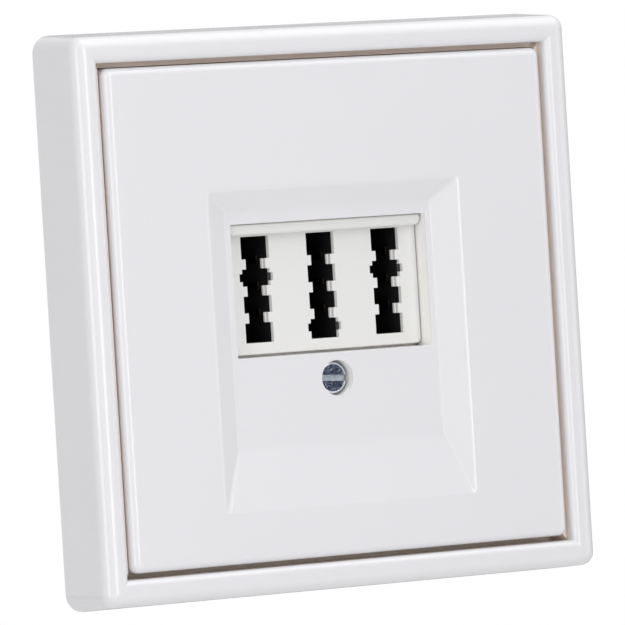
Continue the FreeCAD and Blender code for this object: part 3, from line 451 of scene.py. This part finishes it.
def looseObject(name, mesh):
    piece = bpy.data.objects.new(name, mesh)
    bpy.context.scene.collection.objects.link(piece)
    return piece


def settle(piece):
    # Applies the modifiers
    bpy.context.view_layer.update()
    shaped = piece.evaluated_get(bpy.context.evaluated_depsgraph_get())
    mesh = bpy.data.meshes.new_from_object(shaped)
    old = piece.data
    piece.modifiers.clear()
    piece.data = mesh
    bpy.data.meshes.remove(old)


def carve(piece, cutter):
    # Takes the cutter's form out of the piece
    tool = looseObject(piece.name + "Cutter", cutter)
    change = piece.modifiers.new("carve", "BOOLEAN")
    change.operation = "DIFFERENCE"
    change.solver = "EXACT"
    change.object = tool
    settle(piece)
    bpy.data.objects.remove(tool)


def soften(piece, width, angle=40.0, segments=3):
    # Fine roundings on every edge sharper than the angle, as any moulded or stamped edge has
    change = piece.modifiers.new("soften", "BEVEL")
    change.limit_method = "ANGLE"
    change.angle_limit = math.radians(angle)
    change.width = width * mm
    change.segments = segments
    change.use_clamp_overlap = True
    settle(piece)


def finishPiece(piece, material, replaced):
    mesh = piece.data
    mesh.materials.clear()
    mesh.materials.append(material)
    mesh.polygons.foreach_set("use_smooth", [True] * len(mesh.polygons))
    mesh.set_sharp_from_angle(angle=math.radians(shading["smoothAngle"]))
    weighted = piece.modifiers.new("flatFaces", "WEIGHTED_NORMAL")
    weighted.keep_sharp = True
    weighted.weight = shading["flatWeight"]
    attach(piece, "root")
    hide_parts(*replaced)
    print(piece.name, "made:", len(mesh.polygons), "faces")


# Cover frame: a tapering shell round the opening, with a rim, ribs and the ledge that carries the plate

coverFrame = {
    "rearHalf": 40.25,
    "frontHalf": 39.41,
    "front": 11.4,
    "outerCorner": 2.6,
    "outerRounding": 2.0,
    "openingHalf": 35.75,
    "openingRounding": 1.05,
    "rim": 1.3,
    "wall": 1.8,
    "grooveFront": 9.5,
    "stepFronts": (9.3, 8.2, 9.75, 5.5),    # the joint's floor, on the right, top, left and bottom
    "stepOut": 0.6,
    "ledgeFront": 4.0,
    "ledgeBack": 2.6,
    "ledgeWidth": 2.5,
    "ribWidth": 1.0,
    "ribSpacing": 12.0,
    "ribsEachWay": 2,
    "ribRear": 1.0,
    "edge": 0.15,
    "arcSteps": 10,
    "cornerSteps": 8,
}


def frameOutline(cfg):
    # The frame's section as (half width, front), from its outer rear edge over the front and back
    edge = cfg["edge"]
    opening = cfg["openingHalf"]
    stepHalf = opening - cfg["stepOut"]
    ledgeHalf = opening - cfg["ledgeWidth"]
    rimHalf = opening + cfg["rim"]
    grooveHalf = cfg["rearHalf"] - cfg["wall"]
    step = max(cfg["stepFronts"])
    return roundedOutline([
        (cfg["rearHalf"], 0, edge),
        (cfg["frontHalf"], cfg["front"], cfg["outerRounding"]),
        (opening, cfg["front"], cfg["openingRounding"]),
        (opening, step, 0),
        (stepHalf, step, 0),
        (stepHalf, cfg["ledgeFront"], 0),
        (ledgeHalf, cfg["ledgeFront"], edge),
        (ledgeHalf, cfg["ledgeBack"], edge),
        (opening, cfg["ledgeBack"], 0),
        (opening, 0, edge),
        (rimHalf, 0, edge),
        (rimHalf, cfg["grooveFront"], 0),
        (grooveHalf, cfg["grooveFront"], 0),
        (grooveHalf, 0, edge),
    ], steps=cfg["arcSteps"])


def addFrameRibs(bm, cfg):
    # Ribs that bridge the groove in the frame's back
    halfRib = cfg["ribWidth"] / 2
    inner = cfg["openingHalf"] + cfg["rim"] - overlap
    outer = cfg["rearHalf"] - cfg["wall"] + overlap
    front = cfg["grooveFront"] + overlap
    for place in range(-cfg["ribsEachWay"], cfg["ribsEachWay"] + 1):
        low = place * cfg["ribSpacing"] - halfRib
        high = place * cfg["ribSpacing"] + halfRib
        for near, far in ((inner, outer), (-outer, -inner)):
            addBlock(bm, near, far, low, high, cfg["ribRear"], front)
            addBlock(bm, low, high, near, far, cfg["ribRear"], front)


def buildCoverFrame(cfg):
    step = max(cfg["stepFronts"])
    loops = []
    for half, front in frameOutline(cfg):
        corner = max(cfg["edge"], cfg["outerCorner"] - (cfg["rearHalf"] - half))
        onStep = half < cfg["openingHalf"] + nearly and abs(front - step) < nearly
        height = cfg["stepFronts"] if onStep else front
        loops.append(squareLoop(half, corner, height, cfg["cornerSteps"]))
    bm = bmesh.new()
    addShell(bm, loops, True)
    addFrameRibs(bm, cfg)
    piece = looseObject("coverFrameMoulding", meshFrom("coverFrameMoulding", bm))
    finishPiece(piece, frameWhite, ["cover_frame"])


buildCoverFrame(coverFrame)


# Centre plate: one moulding with the bevelled recess, the window with its collar, and the screw's seat

centrePlate = {
    "half": 35.0,
    "corner": 1.2,
    "leastCorner": 0.3,     # where the rounding towards the face would leave less
    "front": 11.2,
    "rear": 4.0,
    "rounding": 1.2,
    "wall": 2.0,
    "skirtWall": 1.6,
    # How far each side stands from the centre, as right, top, left, bottom
    "rimSides": (20.05, 17.2, 20.05, 27.8),
    "floorSides": (16.6, 14.2, 16.6, 19.3),
    "recessDepth": 2.0,
    "rimRounding": 1.6,
    "rimCorner": 0.55,
    "floorCorner": 0.3,
    "feet": (0.1, 0.15, 0.1, 0.35),         # half the width of the fold from each bevel to the floor
    "floorWall": 1.8,
    "window": (15.65, 12.35, 15.65, 6.4),
    "windowCorner": 0.3,
    "windowEdge": 0.06,
    "windowShares": (0, 0.3, 0.7, 1),       # stations round the window's softened edge
    "collar": 1.2,
    "collarRear": 5.0,
    "screwHeight": -10.05,
    "screwHole": 5.0,
    "screwSeat": 6.2,
    "shankHole": 3.1,
    "holeFacets": 64,
    "boss": 8.4,
    "bossGap": 0.05,        # between the boss and the window
    "stiffenerPlace": 12.0,
    "stiffenerWidth": 1.2,
    "softEdge": 0.12,
    "arcSteps": 10,
    "cornerSteps": 8,
    "cutPast": 1.0,         # how far the cutter stands out past what it cuts
}


def rimLoops(cfg):
    # The rounding from the plate's face into the four bevels, whose slopes differ
    steps = cfg["cornerSteps"]
    slopes = [math.atan(cfg["recessDepth"] / (rim - floor))
              for rim, floor in zip(cfg["rimSides"], cfg["floorSides"])]
    radius = cfg["rimRounding"]
    loops = []
    for step in range(steps + 1):
        share = step / steps
        sides = [rim + radius * (math.tan(slope / 2) - math.sin(share * slope))
                 for rim, slope in zip(cfg["rimSides"], slopes)]
        fronts = [cfg["front"] - radius * (1 - math.cos(share * slope)) for slope in slopes]
        loops.append(sidesLoop(sides, cfg["rimCorner"], fronts))
    return loops


def footLoops(cfg, floor):
    # The soft fold at the foot of the bevels: one loop a little way up them, one a little way in
    places = list(zip(cfg["rimSides"], cfg["floorSides"], cfg["feet"]))
    fronts = [floor + foot * cfg["recessDepth"] / (rim - side) for rim, side, foot in places]
    return [sidesLoop([side + foot for rim, side, foot in places], cfg["floorCorner"], fronts),
            sidesLoop([side - foot for rim, side, foot in places], cfg["floorCorner"], floor)]


def plateInside(cfg):
    # What follows from the sizes: the recess's floor and back, and the hollow round it
    floor = cfg["front"] - cfg["recessDepth"]
    return {
        "floor": floor,
        "backRear": floor - cfg["floorWall"],
        "backSides": [side + cfg["floorWall"] for side in cfg["rimSides"]],
        "hollowFront": cfg["front"] - cfg["wall"],
        "hollowHalf": cfg["half"] - cfg["skirtWall"],
    }


def plateFrontLoops(cfg, floor):
    # From the skirt's rear edge over the face and down the recess, then through the window
    skirt = roundedOutline([(cfg["half"], cfg["rear"], 0),
                            (cfg["half"], cfg["front"], cfg["rounding"]),
                            (cfg["half"] - 2 * cfg["rounding"], cfg["front"], 0)],
                           closed=False, steps=cfg["arcSteps"])
    loops = []
    for half, front in skirt[:-1]:
        corner = max(cfg["leastCorner"], cfg["corner"] - (cfg["half"] - half))
        loops.append(squareLoop(half, corner, front, cfg["cornerSteps"]))
    loops += rimLoops(cfg)
    loops += footLoops(cfg, floor)
    edge = cfg["windowEdge"]
    for share in cfg["windowShares"]:
        turn = share * math.pi / 2
        grown = [side + edge * (1 - math.sin(turn)) for side in cfg["window"]]
        loops.append(sidesLoop(grown, cfg["windowCorner"], floor - edge * (1 - math.cos(turn))))
    loops.append(sidesLoop(cfg["window"], cfg["windowCorner"], cfg["collarRear"]))
    return loops


def plateBackLoops(cfg, inside):
    # From the window's collar over the recess's back into the hollow, and down the skirt's inside
    collar = [side + cfg["collar"] for side in cfg["window"]]
    backSides, backRear = inside["backSides"], inside["backRear"]
    half, front = inside["hollowHalf"], inside["hollowFront"]
    return [sidesLoop(collar, hiddenCorner, cfg["collarRear"]),
            sidesLoop(collar, hiddenCorner, backRear),
            sidesLoop(backSides, hiddenCorner, backRear),
            sidesLoop(backSides, hiddenCorner, front),
            squareLoop(half, hiddenCorner, front, cfg["cornerSteps"]),
            squareLoop(half, hiddenCorner, cfg["rear"], cfg["cornerSteps"])]


def addScrewBoss(bm, cfg, backRear):
    # The screw's seat behind the recess, cut flat where the window passes it
    hole = cfg["screwHole"] / 2
    shank = cfg["shankHole"] / 2
    boss = cfg["boss"] / 2
    front = backRear + overlap
    before = len(bm.verts)
    addTurned(bm, cfg["screwHeight"],
              [(boss, cfg["collarRear"]), (boss, front), (hole, front),
               (hole, cfg["screwSeat"]), (shank, cfg["screwSeat"]), (shank, cfg["collarRear"])],
              True, cfg["holeFacets"])
    bm.verts.ensure_lookup_table()
    flatSide = -(cfg["window"][3] + cfg["bossGap"]) * mm
    for vertex in bm.verts[before:]:
        vertex.co.z = min(vertex.co.z, flatSide)


def addStiffeners(bm, cfg, inside):
    # Eight ribs from the recess's walls to the skirt
    low = cfg["stiffenerPlace"] - cfg["stiffenerWidth"] / 2
    high = cfg["stiffenerPlace"] + cfg["stiffenerWidth"] / 2
    right, top, left, bottom = [side - overlap for side in inside["backSides"]]
    reach = inside["hollowHalf"] + overlap
    rear = inside["backRear"]
    front = inside["hollowFront"] + overlap
    for near, far in ((low, high), (-high, -low)):
        addBlock(bm, near, far, top, reach, rear, front)
        addBlock(bm, near, far, -reach, -bottom, rear, front)
        addBlock(bm, right, reach, near, far, rear, front)
        addBlock(bm, -reach, -left, near, far, rear, front)


def buildCentrePlate(cfg):
    inside = plateInside(cfg)
    bm = bmesh.new()
    addShell(bm, plateFrontLoops(cfg, inside["floor"]) + plateBackLoops(cfg, inside), True)
    piece = looseObject("centrePlateMoulding", meshFrom("centrePlateMoulding", bm))

    radius = cfg["screwHole"] / 2
    cutRear = inside["backRear"] - cfg["cutPast"]
    cutFront = inside["floor"] + cfg["cutPast"]
    bm = bmesh.new()
    addTurned(bm, cfg["screwHeight"], [(radius, cutRear), (radius, cutFront)], False, cfg["holeFacets"])
    carve(piece, meshFrom("screwHoleCutter", bm))
    soften(piece, cfg["softEdge"])

    bm = reopen(piece)
    addScrewBoss(bm, cfg, inside["backRear"])
    addStiffeners(bm, cfg, inside)
    closeMesh(bm, piece.data)
    finishPiece(piece, plateWhite, ["centre_plate"])


buildCentrePlate(centrePlate)


# Socket face: the off-white insert with three coded slots, a lip over them and tabs behind their necks

socketFace = {
    "half": 15.52,
    "top": 12.1,
    "bottom": -6.05,
    "front": 6.3,
    "wall": 0.75,
    "corner": 0.7,
    "edge": 0.22,
    "skirtOut": 2.4,
    "skirtRise": 1.7,
    "skirtFront": 4.6,
    "rear": 2.6,
    "skirtWall": 1.2,
    "stepFront": 3.7,
    "lipTop": 12.32,
    "lipBottom": 10.75,
    "lipFront": 8.2,
    "lipRounding": 0.5,
    "lipTopShare": 0.6,     # the rounding along the lip's top is tighter, and along its bottom wider
    "lipBottomShare": 1.5,
    "lipCorner": 1.0,       # radius of its lower corners
    "lipLeastCorner": 0.02,
    "slotPitch": 10.45,
    "slotTop": 10.55,
    "slotHalf": 2.2,
    "neckHalf": 1.55,
    "chambers": (3.15, 2.4, 2.35, 2.8),
    "neck": 1.42,
    "wingOut": 0.45,
    "wingHeight": 1.12,
    "wingDrop": 0.62,
    "wingChambers": (1, 3, 1),      # the chamber with the wings in each slot, counted from nought
    "slotEdge": 0.05,
    "tabDepth": 0.85,
    "tabProud": 0.12,
    "tabOut": 0.3,
    "tabSink": 0.05,        # how far the tabs reach into the face
    "tabRounding": 0.28,
    "tabEndEdge": 0.06,
    "tongueHalf": 2.0,
    "tongueLength": 3.6,
    "edgeSteps": 6,
    "tabSteps": 5,
    "lipSteps": 8,
    "cutPast": 0.5,         # how far the cutter stands out past what it cuts
}


def slotSide(cfg, wingChamber):
    # (half width, height) down one side of a slot, and the heights of its necks
    side = []
    necks = []
    top = cfg["slotTop"]
    for index, height in enumerate(cfg["chambers"]):
        half = cfg["slotHalf"]
        side.append((half, top))
        if index == wingChamber:
            wingTop = top - cfg["wingDrop"]
            wingBottom = wingTop - cfg["wingHeight"]
            wide = half + cfg["wingOut"]
            side += [(half, wingTop), (wide, wingTop), (wide, wingBottom), (half, wingBottom)]
        side.append((half, top - height))
        top -= height
        if index < len(cfg["chambers"]) - 1:
            side += [(cfg["neckHalf"], top), (cfg["neckHalf"], top - cfg["neck"])]
            necks.append(top - cfg["neck"] / 2)
            top -= cfg["neck"]
    return side, necks


def addTab(bm, cfg, x, sign, z):
    # A short pillar behind a neck, its edge towards the slot rounded
    near = cfg["neckHalf"] - cfg["tabProud"]
    far = cfg["slotHalf"] + cfg["tabOut"]
    top = cfg["front"] - cfg["wall"] + cfg["tabSink"]
    low = top - cfg["tabDepth"]
    bend = cfg["tabRounding"]
    outline = roundedOutline([(near, low, bend), (near, top, bend), (far, top, 0), (far, low, 0)],
                             steps=cfg["tabSteps"])
    half = cfg["neck"] / 2
    edge = cfg["tabEndEdge"]
    tiers = [(-half, edge), (-half + edge, 0), (half - edge, 0), (half, edge)]
    loops = []
    for rise, inset in tiers:
        middle = Vector(((near + far) / 2, (top + low) / 2))
        loop = []
        for spot in outline:
            away = middle - spot
            spot = spot + away.normalized() * inset
            loop.append((x + sign * spot.x, -spot.y, z + rise))
        loops.append(loop)
    addShell(bm, loops, False)


def faceLoops(cfg):
    # From the front down the outside and round the skirt, then back up the inside
    half, top, bottom, front = cfg["half"], cfg["top"], cfg["bottom"], cfg["front"]
    outer = (half, top, half, -bottom)
    wide = half + cfg["skirtOut"]
    skirt = (wide, top + cfg["skirtRise"], wide, cfg["skirtRise"] - bottom)
    inner = [side - cfg["skirtWall"] for side in skirt]
    within = half - cfg["skirtWall"]
    hollow = (within, top - cfg["wall"], within, -bottom - cfg["wall"])
    edge = cfg["edge"]
    loops = []
    for turn in quarterTurns(cfg["edgeSteps"]):
        inset = edge * (1 - math.sin(turn))
        loops.append(sidesLoop([side - inset for side in outer], cfg["corner"] - inset,
                               front - edge * (1 - math.cos(turn))))
    loops.append(sidesLoop(outer, cfg["corner"], cfg["skirtFront"]))
    loops.append(sidesLoop(skirt, cfg["corner"], cfg["skirtFront"]))
    loops.append(sidesLoop(skirt, cfg["corner"], cfg["rear"]))
    loops.append(sidesLoop(inner, hiddenCorner, cfg["rear"]))
    loops.append(sidesLoop(inner, hiddenCorner, cfg["stepFront"]))
    loops.append(sidesLoop(hollow, hiddenCorner, cfg["stepFront"]))
    loops.append(sidesLoop(hollow, hiddenCorner, front - cfg["wall"]))
    return loops


def addLip(bm, cfg):
    # The bar over the slots, its front edges and its corners rounded
    half = cfg["half"]
    bend = cfg["lipRounding"]
    big = cfg["lipCorner"]
    lip = (half, cfg["lipTop"], half, -cfg["lipBottom"])
    loops = [sidesLoop(lip, (big, bend, bend, big), cfg["front"] - cfg["wall"] / 2)]
    for turn in quarterTurns(cfg["lipSteps"]):
        inset = bend * (1 - math.cos(turn))
        small = bend - inset + cfg["lipLeastCorner"]
        corner = (big - inset, small, small, big - inset)
        sides = [half - inset, cfg["lipTop"] - inset * cfg["lipTopShare"],
                 half - inset, -cfg["lipBottom"] - inset * cfg["lipBottomShare"]]
        loops.append(sidesLoop(sides, corner, cfg["lipFront"] - bend * (1 - math.sin(turn))))
    addShell(bm, loops, False)


def addTongues(bm, cfg):
    # One on each side of the skirt, level with the slots' middle, to stand in the housing
    wide = cfg["half"] + cfg["skirtOut"]
    neckCount = len(cfg["chambers"]) - 1
    middle = cfg["slotTop"] - (sum(cfg["chambers"]) + neckCount * cfg["neck"]) / 2
    for near, far in ((wide - cfg["skirtWall"], wide), (-wide, cfg["skirtWall"] - wide)):
        addBlock(bm, near, far, middle - cfg["tongueHalf"], middle + cfg["tongueHalf"],
                 cfg["rear"] - cfg["tongueLength"], cfg["rear"] + overlap)


def buildSocketFace(cfg):
    bm = bmesh.new()
    addShell(bm, faceLoops(cfg), False)
    piece = looseObject("socketFaceMoulding", meshFrom("socketFaceMoulding", bm))

    slots = []
    for index, wingChamber in enumerate(cfg["wingChambers"]):
        slots.append(((index - 1) * cfg["slotPitch"], *slotSide(cfg, wingChamber)))
    heights = (cfg["front"] - cfg["wall"] - cfg["cutPast"], cfg["front"] + cfg["cutPast"])
    bm = bmesh.new()
    for x, side, necks in slots:
        outline = [(x + across, z) for across, z in side] + [(x - across, z) for across, z in side[::-1]]
        addShell(bm, [[(across, -height, z) for across, z in outline] for height in heights], False)
    carve(piece, meshFrom("slotCutter", bm))
    soften(piece, cfg["slotEdge"], segments=2)

    bm = reopen(piece)
    for x, side, necks in slots:
        for z in necks:
            addTab(bm, cfg, x, 1, z)
            addTab(bm, cfg, x, -1, z)
    addLip(bm, cfg)
    addTongues(bm, cfg)
    closeMesh(bm, piece.data)
    finishPiece(piece, faceWhite, ["socket_face"])


buildSocketFace(socketFace)


# Centre screw: a slotted cheese-head screw, its head down in the plate's hole

centreScrew = {
    "height": -10.05,
    "head": 4.5,
    "headFront": 7.8,
    "headRear": 6.2,
    "headRounding": 0.32,   # catches a bright ring from the white room beside the dark card
    "neckRounding": 0.05,
    "shank": 2.9,
    "end": -1.4,
    "tipChamfer": 0.3,
    "facets": 96,
    "arcSteps": 10,
    "slot": 0.88,
    "slotDepth": 0.7,
    "slotCorner": 0.02,
    "softEdge": 0.03,
    "softAngle": 50.0,      # degrees; only folds sharper than this are softened
    "cutPast": 1.0,
    "turn": 3.3,            # degrees, so that the slot stands level in the picture
    "pitch": 0.5,
    "threadDepth": 0.24,
}


def threadLoops(radius, depth, pitch, start, end, steps, stationsEachTurn=8):
    # A helical ridge: the radius rises and falls with the height and with the angle together
    loops = []
    stations = int(abs(end - start) / pitch * stationsEachTurn)
    for station in range(stations + 1):
        front = start + (end - start) * station / stations
        fade = min(1, station / stationsEachTurn, (stations - station) / stationsEachTurn)
        loop = []
        for step in range(steps):
            share = (front / pitch + step / steps) % 1
            dip = depth * (1 - abs(2 * share - 1)) * fade
            turn = 2 * math.pi * step / steps
            loop.append(((radius - dip) * math.cos(turn), -front, (radius - dip) * math.sin(turn)))
        loops.append(loop)
    return loops


def finishHead(mesh, cfg):
    # The slot's sawn faces and the head's rubbed edge differ from the plated rest
    mesh.materials.append(cutZinc)
    mesh.materials.append(rubbedZinc)
    slotFloor = cfg["headFront"] - cfg["slotDepth"]
    for face in mesh.polygons:
        middle = face.center / mm
        front = -middle.y
        inSlot = abs(middle.z) < cfg["slot"] / 2 + nearly
        onEdge = math.hypot(middle.x, middle.z) > cfg["head"] / 2 - cfg["headRounding"]
        if inSlot and slotFloor - nearly < front < cfg["headFront"] - cfg["softEdge"]:
            face.material_index = 1
        elif onEdge and front > cfg["headFront"] - cfg["headRounding"]:
            face.material_index = 2


def buildCentreScrew(cfg):
    # Made upright round the origin, then turned and moved to its hole
    radius = cfg["head"] / 2
    shank = cfg["shank"] / 2
    facets = cfg["facets"]
    head = roundedOutline([(radius - cfg["headRounding"] - nearly, cfg["headFront"], 0),
                           (radius, cfg["headFront"], cfg["headRounding"]),
                           (radius, cfg["headRear"], cfg["neckRounding"]),
                           (shank + cfg["neckRounding"], cfg["headRear"], 0)],
                          closed=False, steps=cfg["arcSteps"])
    loops = [roundLoop(0, across, front, facets) for across, front in head]
    loops += threadLoops(shank, cfg["threadDepth"], cfg["pitch"], cfg["headRear"] - cfg["neckRounding"],
                         cfg["end"] + cfg["tipChamfer"], facets)
    loops.append(roundLoop(0, shank - cfg["tipChamfer"], cfg["end"], facets))
    bm = bmesh.new()
    addShell(bm, loops, False)
    piece = looseObject("centreScrewSlotted", meshFrom("centreScrewSlotted", bm))
    halfSlot = cfg["slot"] / 2
    bm = bmesh.new()
    addBlock(bm, -cfg["head"], cfg["head"], -halfSlot, halfSlot,
             cfg["headFront"] - cfg["slotDepth"], cfg["headFront"] + cfg["cutPast"], cfg["slotCorner"])
    carve(piece, meshFrom("screwSlotCutter", bm))
    soften(piece, cfg["softEdge"], cfg["softAngle"], segments=2)
    finishPiece(piece, screwZinc, ["centre_screw"])
    finishHead(piece.data, cfg)
    turned = Matrix.Rotation(math.radians(cfg["turn"]), 4, "Y")
    piece.data.transform(Matrix.Translation((0, 0, cfg["height"] * mm)) @ turned)


buildCentreScrew(centreScrew)


# What lies behind keeps its solids; only the finishes are new

nodeEdges = {
    "joinWithin": 0.0005,   # mm; corners nearer than this are one
    "angle": 50.0,          # degrees; only folds sharper than this are rounded
    "widths": {"contact_housing": 0.12, "rear_cover": 0.2, "support_ring": 0.15},
}


def softenNode(name, width, cfg):
    # The solid's edges get the fine roundings of a mould or a press, in modifiers that leave it as it is
    piece = nodes[name]
    joined = piece.modifiers.new("joinCorners", "WELD")
    joined.merge_threshold = cfg["joinWithin"] * mm
    rounded = piece.modifiers.new("roundEdges", "BEVEL")
    rounded.limit_method = "ANGLE"
    rounded.angle_limit = math.radians(cfg["angle"])
    rounded.width = width * mm
    rounded.segments = 2
    rounded.harden_normals = True


def dressInside():
    dress("contact_housing", housingBlack)
    dress("rear_cover", coverBlack)
    dress("support_ring", ringZinc)
    dress("threaded_bush", bushBrass)
    for name in ("terminal_clamps", "terminal_screws", "ring_screws"):
        dress(name, screwZinc)
    for name in nodes:
        if name.startswith("contact_spring"):
            dress(name, springBronze)
        if name.startswith("link_strip"):
            dress(name, stripBrass)


dressInside()
for name, width in nodeEdges["widths"].items():
    softenNode(name, width, nodeEdges)
print("inside dressed")


# Studio: a white room, two tall soft lamps either side of the camera, and one overhead

studio = {
    "white": 1.0,           # what the camera and the gloss see
    "fill": 0.515,          # how strongly the room lights matt surfaces
    "floorDrop": 200.0,     # mm below the origin
    "floorHalf": 1500.0,
    "lampDistance": 1500.0,
    # Each lamp: watts, width and height in mm, azimuth and elevation in degrees
    "leftLamp": (5.7, 560.0, 1500.0, -53.0, 6.0),
    "rightLamp": (9.9, 520.0, 2200.0, 13.0, 6.0),
    "topLamp": (9.0, 1700.0, 1200.0, 52.0, 65.0),
    # Each card: width, height, azimuth, elevation, distance. The dark one gives the screw's polished head
    # its contrast, and the grey ones draw the outline of the frame's top and right
    "darkCard": (240.0, 700.0, 30.0, 0.0, 700.0),
    "topCard": (900.0, 300.0, 151.0, 19.0, 700.0),
    "sideCard": (1500.0, 420.0, 120.0, -10.0, 700.0),
    # Boards: material, colour, shade, and how many mm a patch of it measures
    "boards": {
        "floor": ("paleBoardPainted", "F4F4F4", "EEEEEE", 40.0),
        "darkCard": ("darkBoardPainted", "2B3350", "232A43", 30.0),
        "topCard": ("paleGreyBoardPainted", "D0D0D2", "C8C8CA", 30.0),
        "sideCard": ("greyBoardPainted", "9A9896", "92908E", 30.0),
    },
}


def makeRoom(cfg):
    world = bpy.data.worlds.new("studio")
    bpy.context.scene.world = world
    world.use_nodes = True
    tree = world.node_tree
    tree.nodes.clear()
    rays = addNode(tree, "ShaderNodeLightPath").outputs
    seen = calculate(tree, "MAXIMUM", rays["Is Camera Ray"], rays["Is Glossy Ray"])
    seen = calculate(tree, "MAXIMUM", seen, rays["Is Transmission Ray"])
    level = addNode(tree, "ShaderNodeMapRange", {"To Min": cfg["fill"], "To Max": cfg["white"]},
                    {"Value": seen})
    light = addNode(tree, "ShaderNodeBackground", {"Color": (1, 1, 1, 1)},
                    {"Strength": level.outputs["Result"]})
    addNode(tree, "ShaderNodeOutputWorld", links={"Surface": light.outputs[0]})


def flatSheet(name, width, height):
    mesh = bpy.data.meshes.new(name)
    x = width / 2 * mm
    y = height / 2 * mm
    mesh.from_pydata([(-x, -y, 0), (x, -y, 0), (x, y, 0), (-x, y, 0)], [], [(0, 1, 2, 3)])
    sheet = looseObject(name, mesh)
    return sheet


def makeBoard(name, colour, shade, patch):
    # Painted board: matt, with the faint unevenness of a roller
    material, tree = newMaterial(name)
    uneven = addNode(tree, "ShaderNodeTexNoise", {"Scale": 1 / patch, "Detail": 3.0},
                     {"Vector": millimetres(tree).outputs[0]})
    tint = addNode(tree, "ShaderNodeMix", {"data_type": "RGBA", "A": linear(colour), "B": linear(shade)},
                   {"Factor": uneven.outputs["Fac"]})
    shader = addNode(tree, "ShaderNodeBsdfPrincipled", {"Roughness": 0.8},
                     {"Base Color": tint.outputs["Result"]})
    finishMaterial(tree, shader)
    return material


def spotAround(azimuth, elevation, distance):
    # A place on a sphere round the socket, turned to face it
    towards = direction(azimuth, elevation)
    return Matrix.Translation(towards * distance * mm) @ lookingBack(towards)


def makeLamp(name, cfg):
    power, width, height, azimuth, elevation = cfg[name]
    data = bpy.data.lights.new(name, "AREA")
    data.shape = "RECTANGLE"
    data.size = width * mm
    data.size_y = height * mm
    data.energy = power
    lamp = bpy.data.objects.new(name, data)
    lamp.matrix_world = spotAround(azimuth, elevation, cfg["lampDistance"])
    bpy.context.scene.collection.objects.link(lamp)


def makeCard(name, cfg):
    width, height, azimuth, elevation, distance = cfg[name]
    card = flatSheet(name, width, height)
    card.matrix_world = spotAround(azimuth, elevation, distance)
    card.data.materials.append(makeBoard(*cfg["boards"][name]))
    card.visible_camera = False


def makeStudio(cfg):
    makeRoom(cfg)
    floor = flatSheet("floor", 2 * cfg["floorHalf"], 2 * cfg["floorHalf"])
    floor.location.z = -cfg["floorDrop"] * mm
    floor.data.materials.append(makeBoard(*cfg["boards"]["floor"]))
    for name in ("darkCard", "topCard", "sideCard"):
        makeCard(name, cfg)
    for name in ("leftLamp", "rightLamp", "topLamp"):
        makeLamp(name, cfg)


makeStudio(studio)
bpy.context.scene.view_settings.view_transform = "Standard"
print("studio set")
